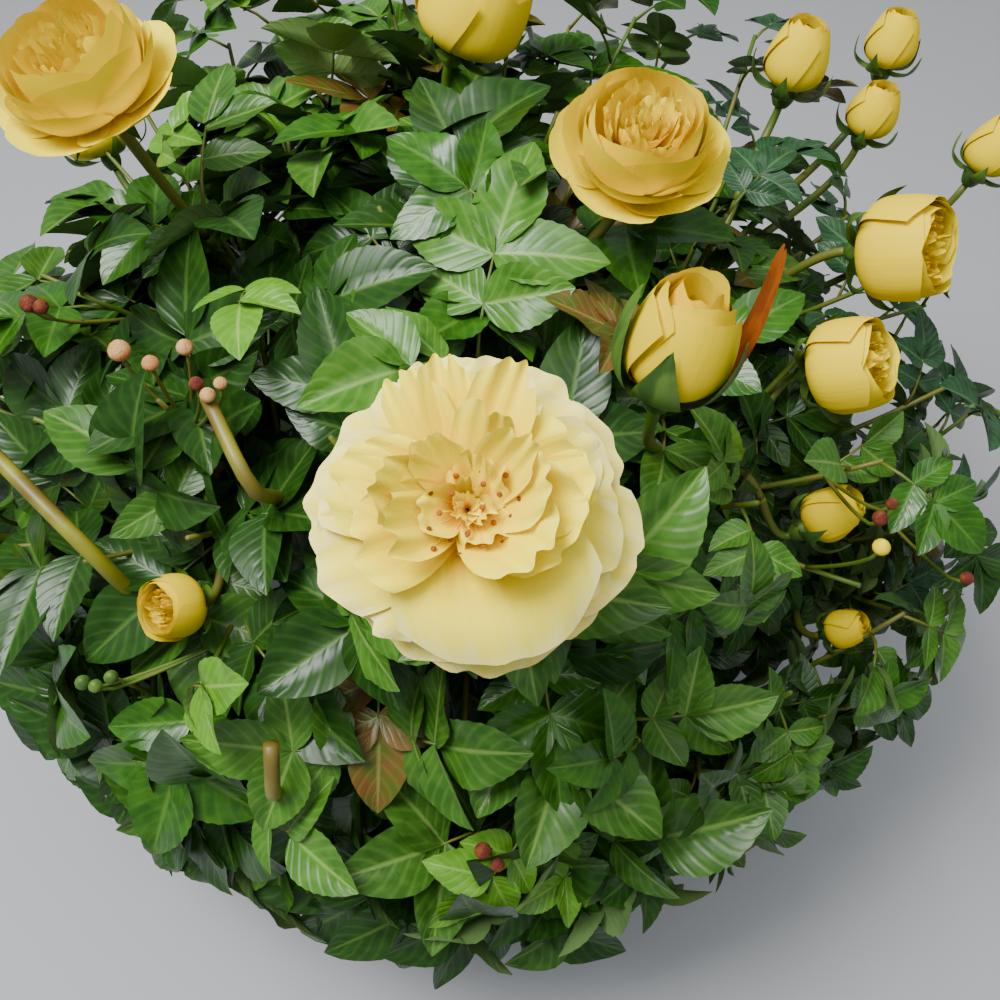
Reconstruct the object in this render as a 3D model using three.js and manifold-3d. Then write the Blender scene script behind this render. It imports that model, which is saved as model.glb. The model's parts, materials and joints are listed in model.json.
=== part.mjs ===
// A yellow garden rose bush, rooted in the ground: a knobbly stem base, canes and side branches,
// masses of five-part leaves that fill a rounded crown, and flowers from tight buds to one full bloom.
// Millimetres, +Z up. The origin is the centre of the flat cut at ground level under the stem base.
import * as THREE from "three";
import { mergeVertices } from "three/addons/utils/BufferGeometryUtils.js";
import Module from "manifold-3d";

const wasm = await Module();
wasm.setup();

// Driving dimensions

const CROWN = {
  halfWidth: 312,
  frontDepth: 242,
  backDepth: 282,
  frontRoundness: 1.6,
  backRoundness: 2.1,
  waist: 225,
  top: 472,
  foot: 95,
  squareness: 2.5,
};
const PLAN_SQUASH = 0.89;
const BASE = { height: 58, footRadius: 22, neckRadius: 13, knobRadius: 18, flareLobes: 5, sides: 15 };
const CANE = { footRadius: 5.4, tipRadius: 3.3, sides: 6, steps: 5 };
const BRANCH = { footRadius: 4, tipRadius: 2.8, sides: 6, steps: 3 };
const STEM = { tipRadius: 2.6, sides: 4, steps: 3 };
const TWIG = {
  count: 52,
  footRadius: 1.7,
  tipRadius: 1.6,
  sides: 3,
  steps: 2,
  depth: 40,
  leavesAt: [0.985, 0.62],
  rootShare: [0.25, 0.95],
  sag: 0.12,
};
const LEAF = { length: 57, width: 34, fold: 0.2, droop: 0.16, thickness: 1.4, keel: 0.46, skyward: 0.8 };
const RACHIS = { length: 60, radius: 0.95, steps: 2, lift: 0.32, stations: [0, 0.3, 0.4, 0.88, 0.98] };
const FLOWER_SHOOT_RADIUS = 2.4;
const CLEARANCE = 0.3;
const LIMB_MARGIN = 1.5;
const CELL_MARGIN = 0.6;
const SHORTEST_EDGE = 0.35;
const RIB_SPACE = 7;
const GOLDEN_ANGLE = Math.PI * (3 - Math.sqrt(5));
const SEED = 2718;

// One side of a leaflet's outline, from its root towards its tip, as shares of its length and width.
const LEAF_OUTLINE = [
  [0.3, 0.47],
  [0.68, 0.38],
];

// The leaflets of a compound leaf: the length of rachis each sits on, its side, splay and share of full size.
const LEAFLETS = [
  { segment: 4, side: 0, splay: 0, size: 1 },
  { segment: 3, side: 1, splay: 72, size: 0.92 },
  { segment: 3, side: -1, splay: 72, size: 0.92 },
  { segment: 1, side: 1, splay: 74, size: 0.8 },
  { segment: 1, side: -1, splay: 74, size: 0.8 },
];

// The masses of foliage. Upper and middle masses end main canes, lower masses end side branches.
const TIERS = {
  middle: { tip: [5, 285], stemEnd: [0, 392], seed: [0, 400] },
  upper: { tip: [70, 272], stemEnd: [142, 385], seed: [152, 392] },
  lower: { tip: [135, 186], stemEnd: [212, 232], seed: [226, 218] },
};
const MASSES = [
  { name: "middle", tier: "middle", azimuth: 45 },
  { name: "upper_front", tier: "upper", azimuth: -90 },
  { name: "upper_front_right", tier: "upper", azimuth: -30 },
  { name: "upper_back_right", tier: "upper", azimuth: 30 },
  { name: "upper_back", tier: "upper", azimuth: 90 },
  { name: "upper_back_left", tier: "upper", azimuth: 150 },
  { name: "upper_front_left", tier: "upper", azimuth: 210 },
  { name: "lower_front", tier: "lower", azimuth: -90, from: "upper_front" },
  { name: "lower_front_right", tier: "lower", azimuth: -45, from: "upper_front_right" },
  { name: "lower_right", tier: "lower", azimuth: 0, from: "upper_back_right" },
  { name: "lower_back_right", tier: "lower", azimuth: 47, from: "upper_back_right" },
  { name: "lower_back", tier: "lower", azimuth: 93, from: "upper_back" },
  { name: "lower_back_left", tier: "lower", azimuth: 137, from: "upper_back_left" },
  { name: "lower_left", tier: "lower", azimuth: 181, from: "upper_back_left" },
  { name: "lower_front_left", tier: "lower", azimuth: 226, from: "upper_front_left" },
];

// The shapes of flower. Each ring of petals runs from the receptacle by way of its belly to its tip,
// both given as [distance from the axis, height]. Sepals end at their tips, given likewise.
const FORMS = {
  open: {
    radius: 47,
    stalk: 2.9,
    core: [15, 27],
    rings: [
      { count: 6, belly: [27, -4], tip: [48, -7], halfWidth: 25 },
      { count: 6, belly: [26, 8], tip: [42, 10], halfWidth: 22 },
      { count: 5, belly: [22, 17], tip: [31, 25], halfWidth: 19 },
    ],
    sepalTip: [27, -19],
  },
  cupped: {
    radius: 37,
    stalk: 2.8,
    core: [17, 37],
    rings: [
      { count: 5, belly: [29, 1], tip: [38, 17], halfWidth: 24 },
      { count: 5, belly: [27, 10], tip: [29, 35], halfWidth: 20 },
    ],
    sepalTip: [28, -10],
  },
  halfOpen: {
    radius: 23,
    stalk: 2.2,
    core: [13, 38],
    rings: [{ count: 4, belly: [26, 11], tip: [19, 40], halfWidth: 19 }],
    sepalTip: [29, 6],
  },
  bud: { radius: 13, stalk: 1.9, core: [12, 35], rings: [], sepalTip: [21, 8] },
};
const HIP = { radius: 6, height: 10, sides: 6 };
const PETAL = { columns: 2, rows: 2, thickness: 1.4, sectorShare: 0.9, rootRadius: 2, rootSpacing: 4 };
const SEPALS = { count: 5, notchRadius: 5, thickness: 3 };

// The flowers: the centre of the receptacle, the way the flower faces, its form and size.
const FLOWERS = [
  {
    name: "bloom_front",
    mass: "upper_front",
    form: "open",
    at: [6, -181, 508],
    facing: [0, -0.5, 0.87],
  },
  {
    name: "bloom_left",
    mass: "upper_back_left",
    form: "cupped",
    at: [-151, 34, 497],
    facing: [-0.22, -0.16, 0.96],
  },
  {
    name: "bloom_middle",
    mass: "middle",
    form: "cupped",
    at: [72, 16, 478],
    facing: [0.04, -0.2, 0.98],
    scale: 0.97,
  },
  {
    name: "bloom_back",
    mass: "upper_back",
    form: "halfOpen",
    at: [-6, 128, 462],
    facing: [0.4, 0.1, 0.9],
    scale: 1.08,
  },
  {
    name: "bud_opening",
    mass: "upper_front_right",
    form: "bud",
    at: [76, -92, 462],
    facing: [0.16, 0.1, 0.98],
    scale: 1.3,
  },
  {
    name: "bloom_right_upper",
    mass: "upper_back_right",
    form: "halfOpen",
    at: [186, 26, 421],
    facing: [0.86, -0.3, 0.42],
  },
  {
    name: "bloom_right_lower",
    mass: "upper_front_right",
    form: "halfOpen",
    at: [158, -30, 399],
    facing: [0.88, 0.05, 0.47],
    scale: 0.92,
  },
  {
    name: "bud_back_near",
    mass: "upper_back_right",
    form: "bud",
    at: [160, 126, 440],
    facing: [0.15, 0.1, 0.98],
    scale: 1.02,
  },
  {
    name: "bud_back_far",
    mass: "upper_back_right",
    form: "bud",
    at: [219, 160, 430],
    facing: [0.1, 0.12, 0.99],
    scale: 0.88,
  },
  {
    name: "bud_back_low",
    mass: "upper_back_right",
    form: "bud",
    at: [207, 127, 412],
    facing: [0.12, 0, 0.99],
    scale: 0.86,
  },
  {
    name: "bud_far_right",
    mass: "lower_back_right",
    form: "bud",
    at: [270, 116, 397],
    facing: [0.3, 0.05, 0.95],
    scale: 0.92,
  },
  {
    name: "bud_right_middle",
    mass: "upper_front_right",
    form: "bud",
    at: [162, -72, 336],
    facing: [0.7, 0.1, 0.7],
    scale: 0.86,
  },
  {
    name: "bud_right_low",
    mass: "lower_right",
    form: "bud",
    at: [188, -92, 266],
    facing: [0.5, -0.2, 0.84],
    scale: 0.68,
  },
  {
    name: "bud_left_front",
    mass: "upper_front_left",
    form: "bud",
    at: [-120, -124, 350],
    facing: [-0.55, -0.45, 0.7],
    scale: 1.02,
  },
  {
    name: "bud_left_side",
    mass: "lower_left",
    form: "bud",
    at: [-282, 44, 372],
    facing: [-0.3, 0, 0.95],
    scale: 1,
  },
  {
    name: "bloom_left_low",
    mass: "lower_left",
    form: "halfOpen",
    at: [-262, -62, 318],
    facing: [-0.6, -0.3, 0.74],
    scale: 0.95,
  },
  {
    name: "bloom_back_left",
    mass: "upper_back_left",
    form: "halfOpen",
    at: [-214, 168, 368],
    facing: [-0.35, 0.45, 0.82],
    scale: 0.9,
  },
  {
    name: "bud_back_right",
    mass: "lower_back",
    form: "bud",
    at: [112, 258, 312],
    facing: [0.2, 0.35, 0.9],
    scale: 1,
  },
];

// Small helpers

const vec = (x, y, z) => new THREE.Vector3(x, y, z);
const polar = (azimuth, [radius, height]) => {
  const angle = THREE.MathUtils.degToRad(azimuth);
  return vec(radius * Math.cos(angle), radius * PLAN_SQUASH * Math.sin(angle), height);
};

// The same run of numbers from 0 to 1 for the same seed.
function seededNumbers(seed) {
  let state = seed >>> 0;
  return () => {
    state = (Math.imul(state, 1664525) + 1013904223) >>> 0;
    return state / 4294967296;
  };
}

// Solids

function closedGeometry(points, triangles) {
  const geometry = new THREE.BufferGeometry().setFromPoints(points);
  geometry.setIndex(triangles.flat());
  return geometry;
}

function solidOf(geometry) {
  const bare = geometry.clone();
  bare.deleteAttribute("normal");
  bare.deleteAttribute("uv");
  const merged = mergeVertices(bare, 1e-4);
  const vertProperties = new Float32Array(merged.attributes.position.array);
  const triVerts = new Uint32Array(merged.index.array);
  return new wasm.Manifold(new wasm.Mesh({ numProp: 3, vertProperties, triVerts }));
}

// The largest body of a solid, without the shortest of its edges: loose scraps are dropped.
function mainBody(solid) {
  const bodies = solid.simplify(SHORTEST_EDGE).decompose();
  return bodies.reduce((best, body) => (body.volume() > best.volume() ? body : best));
}

function meshOf(name, solid, material) {
  const { numProp, vertProperties, triVerts } = solid.getMesh();
  const positions = new Float32Array((vertProperties.length / numProp) * 3);
  for (let i = 0; i < positions.length / 3; i++) {
    positions.set(vertProperties.subarray(i * numProp, i * numProp + 3), i * 3);
  }
  const geometry = new THREE.BufferGeometry();
  geometry.setAttribute("position", new THREE.BufferAttribute(positions, 3));
  geometry.setIndex(new THREE.BufferAttribute(new Uint32Array(triVerts), 1));
  geometry.computeVertexNormals();
  const mesh = new THREE.Mesh(geometry, material);
  mesh.name = name;
  return mesh;
}

// A limb along a curve, with flat ends and a radius that tapers evenly.
function taperedTube(curve, { footRadius, tipRadius, sides, steps }) {
  const frames = curve.computeFrenetFrames(steps, false);
  const points = [];
  const triangles = [];
  for (let ring = 0; ring <= steps; ring++) {
    const centre = curve.getPointAt(ring / steps);
    const radius = THREE.MathUtils.lerp(footRadius, tipRadius, ring / steps);
    for (let side = 0; side < sides; side++) {
      const angle = (2 * Math.PI * side) / sides;
      const point = centre.clone();
      point.addScaledVector(frames.normals[ring], radius * Math.cos(angle));
      point.addScaledVector(frames.binormals[ring], radius * Math.sin(angle));
      points.push(point);
    }
  }
  for (let ring = 0; ring < steps; ring++) {
    for (let side = 0; side < sides; side++) {
      const a = ring * sides + side;
      const b = ring * sides + ((side + 1) % sides);
      triangles.push([a, b, b + sides], [a, b + sides, a + sides]);
    }
  }
  const last = steps * sides;
  for (let side = 1; side < sides - 1; side++) {
    triangles.push([0, side + 1, side], [last, last + side, last + side + 1]);
  }
  return closedGeometry(points, triangles);
}

// A thin blade: a grid of points (u from -1 to 1 across, v from 0 to 1 along) whose inner points are doubled
// to give it thickness, so that the blade closes on itself along its outline.
function blade({ columns, rows, thickness }, surface) {
  const points = [];
  const front = [];
  const back = [];
  for (let row = 0; row <= rows; row++) {
    for (let column = 0; column <= columns; column++) {
      const u = (2 * column) / columns - 1;
      const v = row / rows;
      const centre = surface(u, v);
      const inner = row > 0 && row < rows && column > 0 && column < columns;
      if (inner) {
        const across = surface(u + 0.01, v).sub(surface(u - 0.01, v));
        const along = surface(u, v + 0.01).sub(surface(u, v - 0.01));
        const normal = across.cross(along).normalize();
        front.push(points.push(centre.clone().addScaledVector(normal, thickness / 2)) - 1);
        back.push(points.push(centre.clone().addScaledVector(normal, -thickness / 2)) - 1);
      } else {
        const shared = points.push(centre) - 1;
        front.push(shared);
        back.push(shared);
      }
    }
  }
  const triangles = [];
  for (let row = 0; row < rows; row++) {
    for (let column = 0; column < columns; column++) {
      const a = row * (columns + 1) + column;
      const corners = [a, a + 1, a + columns + 2, a + columns + 1];
      const [p, q, r, s] = corners.map((k) => front[k]);
      const [w, x, y, z] = corners.map((k) => back[k]);
      // The diagonals meet at the blade's middle, so no triangle has all its corners on the outline.
      const rising = column < columns / 2 === row < rows / 2;
      if (rising) {
        triangles.push([p, q, r], [p, r, s], [w, y, x], [w, z, y]);
      } else {
        triangles.push([p, q, s], [q, r, s], [w, z, x], [x, z, y]);
      }
    }
  }
  return closedGeometry(points, triangles);
}

// The crown's outline: 1 on it, less inside. It is rounder behind than in front.
function crownValue(point) {
  const front = point.y < 0;
  const roundness = front ? CROWN.frontRoundness : CROWN.backRoundness;
  const across = Math.abs(point.x / CROWN.halfWidth) ** roundness;
  const along = Math.abs(point.y / (front ? CROWN.frontDepth : CROWN.backDepth)) ** roundness;
  const plan = (across + along) ** (1 / roundness);
  const rise = point.z - CROWN.waist;
  const height = rise > 0 ? CROWN.top - CROWN.waist : CROWN.waist - CROWN.foot;
  return plan ** CROWN.squareness + Math.abs(rise / height) ** CROWN.squareness;
}

function crownNormal(point) {
  const step = 1;
  const slope = (axis) => {
    const ahead = point.clone();
    const behind = point.clone();
    ahead[axis] += step;
    behind[axis] -= step;
    return crownValue(ahead) - crownValue(behind);
  };
  return vec(slope("x"), slope("y"), slope("z")).normalize();
}

// Points spread evenly over the crown by a golden spiral, from its top down to under its widest part.
function crownPoints(count) {
  const lowest = -0.62;
  return Array.from({ length: count }, (_, i) => {
    const rise = 1 - ((i + 0.5) / count) * (1 - lowest);
    const plan = Math.sqrt(1 - rise * rise);
    const angle = i * GOLDEN_ANGLE;
    const height = rise > 0 ? CROWN.top - CROWN.waist : CROWN.waist - CROWN.foot;
    const direction = vec(
      plan * Math.cos(angle) * CROWN.halfWidth,
      plan * Math.sin(angle) * CROWN.backDepth,
      rise * height,
    );
    const centre = vec(0, 0, CROWN.waist);
    const reach = crownValue(centre.clone().add(direction)) ** (-1 / CROWN.squareness);
    return centre.addScaledVector(direction, reach);
  });
}

// Each mass owns the space nearer to its seed point than to any other seed point.
const seeds = MASSES.map(({ tier, azimuth }) => polar(azimuth, TIERS[tier].seed));

function massIndexAt(point) {
  const distances = seeds.map((seed) => seed.distanceTo(point));
  return distances.indexOf(Math.min(...distances));
}

function insideSpace(index, point, margin) {
  const own = point.distanceToSquared(seeds[index]);
  return seeds.every((seed, other) => {
    if (other === index) return true;
    const depth = (point.distanceToSquared(seed) - own) / (2 * seed.distanceTo(seeds[index]));
    return depth > margin;
  });
}

// Keeping clear: limbs are chains of short capsules, flowers are balls

function capsulesOf(curve, { footRadius, tipRadius, steps }) {
  const points = curve.getSpacedPoints(steps * 2);
  return points.slice(1).map((end, i) => ({
    start: points[i],
    end,
    radius: THREE.MathUtils.lerp(footRadius, tipRadius, i / (steps * 2)),
  }));
}

const moved = (point, direction, amount) => point.clone().addScaledVector(direction, amount);

// The shortest distance between the segments p1-q1 and p2-q2.
function segmentDistance(p1, q1, p2, q2) {
  const d1 = q1.clone().sub(p1);
  const d2 = q2.clone().sub(p2);
  const r = p1.clone().sub(p2);
  const a = d1.lengthSq() || 1e-9;
  const e = d2.lengthSq() || 1e-9;
  const b = d1.dot(d2);
  const c = d1.dot(r);
  const f = d2.dot(r);
  const spread = a * e - b * b;
  let s = spread > 1e-9 ? THREE.MathUtils.clamp((b * f - c * e) / spread, 0, 1) : 0;
  const t = THREE.MathUtils.clamp((b * s + f) / e, 0, 1);
  s = THREE.MathUtils.clamp((b * t - c) / a, 0, 1);
  return moved(p1, d1, s).distanceTo(moved(p2, d2, t));
}

function triangleTouches(triangle, { start, end, radius }, margin) {
  const edges = [
    [triangle.a, triangle.b],
    [triangle.b, triangle.c],
    [triangle.c, triangle.a],
  ];
  const reach = radius + margin;
  if (edges.some(([p, q]) => segmentDistance(p, q, start, end) < reach)) return true;
  const nearest = vec(0, 0, 0);
  const ends = [start, end];
  const within = (point) => triangle.closestPointToPoint(point, nearest).distanceTo(point) < reach;
  if (ends.some(within)) return true;
  const length = start.distanceTo(end);
  const ray = new THREE.Ray(start, end.clone().sub(start).normalize());
  const hit = ray.intersectTriangle(triangle.a, triangle.b, triangle.c, false, nearest);
  return hit !== null && hit.distanceTo(start) < length;
}

const chainTouches = (chain, obstacles, margin) =>
  chain.some((link) =>
    obstacles.some(
      (other) =>
        segmentDistance(link.start, link.end, other.start, other.end) < link.radius + other.radius + margin,
    ),
  );

// The stem base: a short knobbly stem with a lobed root flare and a flat foot

function stemBase() {
  const { height, footRadius, neckRadius, knobRadius, sides, flareLobes } = BASE;
  const profile = [
    [0, 0],
    [footRadius, 0],
    [footRadius * 0.86, height * 0.08],
    [neckRadius, height * 0.34],
    [neckRadius * 1.08, height * 0.5],
    [knobRadius, height * 0.7],
    [knobRadius * 0.92, height * 0.88],
    [knobRadius * 0.5, height],
    [0, height],
  ].map(([radius, z]) => new THREE.Vector2(radius, z));
  const geometry = new THREE.LatheGeometry(profile, sides);
  geometry.rotateX(Math.PI / 2);
  const position = geometry.attributes.position;
  for (let i = 0; i < position.count; i++) {
    const angle = Math.atan2(position.getY(i), position.getX(i));
    const flare = Math.max(0, 1 - position.getZ(i) / (height * 0.34));
    const swell = 1 + 0.14 * flare * Math.cos(flareLobes * angle) + 0.03 * Math.sin(2 * angle + 1);
    position.setX(i, position.getX(i) * swell);
    position.setY(i, position.getY(i) * swell);
  }
  return solidOf(geometry);
}

// Canes rise from the stem base to the upper masses, side branches leave them for the lower masses

function caneCurve({ tier, azimuth }, random) {
  const tip = polar(azimuth, TIERS[tier].tip);
  const sideways = polar(azimuth + 90, [1, 0]);
  const bow = (random() - 0.5) * 22;
  const reach = tier === "middle" ? 0.1 : 1;
  const points = [
    polar(azimuth, [9 * reach, 34]),
    moved(polar(azimuth, [24 * reach, 92]), sideways, bow * 0.3),
    moved(polar(azimuth, [tip.length() * 0.13 * reach + 8, 180]), sideways, bow),
    tip,
  ];
  return new THREE.CatmullRomCurve3(points);
}

function branchCurve({ azimuth }, cane, order) {
  const tip = polar(azimuth, TIERS.lower.tip);
  const start = cane.getPointAt(0.27 + 0.13 * order);
  const elbow = start.clone().lerp(tip, 0.45).add(vec(0, 0, 14));
  return new THREE.QuadraticBezierCurve3(start, elbow, tip);
}

const limbs = new Map();
MASSES.forEach((mass, index) => {
  if (mass.tier !== "lower") {
    const curve = caneCurve(mass, seededNumbers(SEED + index));
    limbs.set(mass.name, { name: "cane_" + mass.name, curve, form: CANE });
  }
});
const branchesSoFar = new Map();
for (const mass of MASSES.filter(({ tier }) => tier === "lower")) {
  const order = branchesSoFar.get(mass.from) ?? 0;
  branchesSoFar.set(mass.from, order + 1);
  const curve = branchCurve(mass, limbs.get(mass.from).curve, order);
  limbs.set(mass.name, { name: "branch_" + mass.name, curve, form: BRANCH, from: mass.from });
}

// A limb, with whatever it springs from cut out of its foot.
function limbSolid({ curve, form, from }, base) {
  const solid = solidOf(taperedTube(curve, form));
  if (!from) return mainBody(solid.subtract(base));
  const parent = limbs.get(from);
  const wider = {
    ...parent.form,
    footRadius: parent.form.footRadius + CLEARANCE * 1.3,
    tipRadius: parent.form.tipRadius + CLEARANCE * 1.3,
  };
  return mainBody(solid.subtract(solidOf(taperedTube(parent.curve, wider))));
}

// The main stem of each mass goes on from its limb's tip

const stems = MASSES.map((mass) => {
  const limb = limbs.get(mass.name);
  const onward = limb.curve.getTangentAt(1);
  const start = moved(limb.curve.getPointAt(1), onward, CLEARANCE);
  const end = polar(mass.azimuth, TIERS[mass.tier].stemEnd);
  const reach = start.distanceTo(end);
  const upward = vec(0, 0, 1);
  const curve = new THREE.CubicBezierCurve3(
    start,
    moved(start, onward, reach * 0.35),
    moved(end, upward, -reach * 0.3),
    end,
  );
  return { curve, form: { ...STEM, footRadius: limb.form.tipRadius } };
});

// Flowers: a shoot of the mass leads towards each one, and its stalk goes on from the shoot's tip

const flowers = FLOWERS.map((flower, index) => {
  const form = FORMS[flower.form];
  const scale = flower.scale ?? 1;
  const facing = vec(...flower.facing).normalize();
  const at = vec(...flower.at);
  const massIndex = MASSES.findIndex(({ name }) => name === flower.mass);
  const stem = stems[massIndex].curve;
  const foot = moved(at, facing, -HIP.height * scale);
  const root = stem.getPointAt(0.6 + 0.1 * (index % 4));
  const tip = root.clone().lerp(foot, 0.45);
  const elbow = moved(root.clone().lerp(tip, 0.5), stem.getTangentAt(0.8), root.distanceTo(tip) * 0.18);
  const shoot = new THREE.QuadraticBezierCurve3(root, elbow, tip);
  const onward = shoot.getTangentAt(1);
  const start = moved(tip, onward, CLEARANCE);
  const reach = start.distanceTo(foot);
  const stalk = new THREE.CubicBezierCurve3(
    start,
    moved(start, onward, reach * 0.35),
    moved(foot, facing, -reach * 0.35),
    moved(foot, facing, scale),
  );
  const tipRadius = Math.min(FLOWER_SHOOT_RADIUS, form.stalk);
  const shootForm = { ...STEM, footRadius: FLOWER_SHOOT_RADIUS, tipRadius };
  const stalkForm = { ...STEM, footRadius: tipRadius, tipRadius: form.stalk };
  return { ...flower, form, scale, facing, at, massIndex, shoot, shootForm, stalk, stalkForm };
});

// The balls that a flower's head fills.
function headBalls({ form, scale, facing, at }) {
  const radius = form.radius * scale;
  const middle = moved(at, facing, radius * 0.45);
  const turn = new THREE.Quaternion().setFromUnitVectors(vec(0, 0, 1), facing);
  const ball = (centre, size) => ({ start: centre, end: centre, radius: size });
  const ring = Array.from({ length: 6 }, (_, i) => {
    const angle = (i * Math.PI) / 3;
    const offset = vec(0.55 * Math.cos(angle), 0.55 * Math.sin(angle), 0.28).multiplyScalar(radius);
    return ball(offset.applyQuaternion(turn).add(at), radius * 0.45);
  });
  return [ball(middle, radius * 0.62), ...ring];
}

// The space in front of a flower, towards the open side of the crown, that leaves keep out of.
function openSpace({ form, scale, at, facing }) {
  const towardsLight = vec(0, -0.5, 0.85).add(facing).normalize();
  const radius = form.radius * scale;
  return { start: moved(at, facing, radius * 0.5), end: moved(at, towardsLight, 110), radius: radius * 0.7 };
}

const limbChains = [...limbs.values()].flatMap(({ curve, form }) => capsulesOf(curve, form));
const stalkChains = flowers.flatMap(({ stalk, stalkForm }) => capsulesOf(stalk, stalkForm));
const headChains = flowers.flatMap(headBalls);
const obstacles = [...limbChains, ...stalkChains, ...headChains];
const openSpaces = flowers.map(openSpace);

// Leaves

// A leaflet on one face of the rachis. Its frame: forward to its tip, across to its left, normal to its top.
function leafletOn(face, points, forward, up, size) {
  const foot = points[face[0]].clone().lerp(points[face[1]], 0.5);
  const across = up.clone().cross(forward).normalize();
  const normal = forward.clone().cross(across).normalize();
  const place = (along, sideways, rise) => {
    const point = moved(foot, forward, along * LEAF.length * size);
    point.addScaledVector(across, sideways * LEAF.width * size);
    return point.addScaledVector(normal, rise * size);
  };
  const rim = (along, sideways) => {
    const folded = Math.abs(sideways) * LEAF.width * LEAF.fold;
    return place(along, sideways, folded - LEAF.droop * LEAF.length * along ** 2);
  };
  const left = LEAF_OUTLINE.map(([along, sideways]) => rim(along, sideways));
  const right = LEAF_OUTLINE.map(([along, sideways]) => rim(along, -sideways));
  const tip = rim(1, 0);
  const keel = place(LEAF.keel, 0, -LEAF.droop * LEAF.length * LEAF.keel - LEAF.thickness);
  return { face, left, right, tip, keel, outline: [foot, ...right, tip, ...left.toReversed()] };
}

// A compound leaf: a three-edged rachis leaves root along direction, with its upper side towards facing.
function compoundLeaf(root, direction, facing) {
  const side = facing.clone().cross(direction).normalize();
  const up = direction.clone().cross(side).normalize();
  const rise = RACHIS.length * RACHIS.lift;
  const tip = moved(moved(root, direction, RACHIS.length), up, rise);
  const elbow = moved(moved(root, direction, RACHIS.length * 0.35), up, rise);
  const curve = new THREE.QuadraticBezierCurve3(root, elbow, tip);
  const points = [];
  for (const station of RACHIS.stations) {
    const centre = curve.getPointAt(station);
    const below = curve.getTangentAt(station).cross(side);
    points.push(moved(centre, side, RACHIS.radius));
    points.push(moved(centre, side, -RACHIS.radius));
    points.push(moved(centre, below, -1.4 * RACHIS.radius));
  }
  const last = 3 * (RACHIS.stations.length - 1);
  const leaflets = LEAFLETS.map((leaflet) => {
    const near = 3 * leaflet.segment;
    const faces = {
      "0": [last, last + 1, last + 2],
      "1": [near, near + 3, near + 5, near + 2],
      "-1": [near + 4, near + 1, near + 2, near + 5],
    };
    const tangent = curve.getTangentAt(RACHIS.stations[leaflet.segment]);
    const splay = THREE.MathUtils.degToRad(leaflet.splay) * leaflet.side;
    const forward = tangent.clone().multiplyScalar(Math.cos(splay)).addScaledVector(side, Math.sin(splay));
    return leafletOn(faces[leaflet.side], points, forward, tangent.clone().cross(side), leaflet.size);
  });
  return { curve, points, leaflets };
}

// The closed surface of a compound leaf that carries only the kept ones of its leaflets.
function compoundLeafGeometry({ points, leaflets }, kept) {
  const corners = [...points];
  const triangles = [];
  const addFace = (ids) => ids.slice(2).forEach((id, i) => triangles.push([ids[0], ids[i + 1], id]));
  const segments = RACHIS.stations.length - 1;
  const last = 3 * segments;
  const bare = [[last, last + 1, last + 2]];
  for (let near = 0; near < last; near += 3) {
    addFace([near + 1, near + 4, near + 3, near]);
    bare.push([near, near + 3, near + 5, near + 2], [near + 4, near + 1, near + 2, near + 5]);
  }
  addFace([1, 0, 2]);
  const carried = new Set(kept.map(({ face }) => face.join()));
  bare.filter((face) => !carried.has(face.join())).forEach(addFace);
  for (const { face, left, right, tip, keel } of kept) {
    const [a, b, ...rest] = face;
    const add = (point) => corners.push(point) - 1;
    const [tipId, keelId] = [add(tip), add(keel)];
    const leftIds = left.map(add);
    const rightIds = right.map(add);
    addFace([b, ...rightIds, tipId]);
    addFace([b, tipId, a]);
    addFace([a, tipId, ...leftIds.toReversed()]);
    const underside = [tipId, ...rightIds.toReversed(), b, ...rest, a, ...leftIds];
    underside.forEach((id, i) => triangles.push([keelId, id, underside[(i + 1) % underside.length]]));
  }
  return closedGeometry(corners, triangles);
}

// The ribs of the leaflets placed so far: later ones keep off them, so that few leaves cross.
const placedRibs = MASSES.map(() => []);

function leafletFits(massIndex, { outline }) {
  const triangles = outline.slice(2).map((point, i) => new THREE.Triangle(outline[0], outline[i + 1], point));
  const ribs = placedRibs[massIndex];
  return (
    outline.every((point) => insideSpace(massIndex, point, CELL_MARGIN + LEAF.thickness)) &&
    outline.every((point) => crownValue(point) < 1.12 && point.z > CROWN.foot * 0.6) &&
    !triangles.some((triangle) => obstacles.some((other) => triangleTouches(triangle, other, LIMB_MARGIN))) &&
    !triangles.some((triangle) => openSpaces.some((space) => triangleTouches(triangle, space, 0))) &&
    !triangles.some((triangle) => ribs.some((rib) => triangleTouches(triangle, rib, 0)))
  );
}

function limbFits(massIndex, curve, form) {
  const chain = capsulesOf(curve, form);
  return (
    chain.every(({ end, radius }) => insideSpace(massIndex, end, CELL_MARGIN + radius)) &&
    !chainTouches(chain.slice(1), obstacles, LIMB_MARGIN)
  );
}

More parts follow.
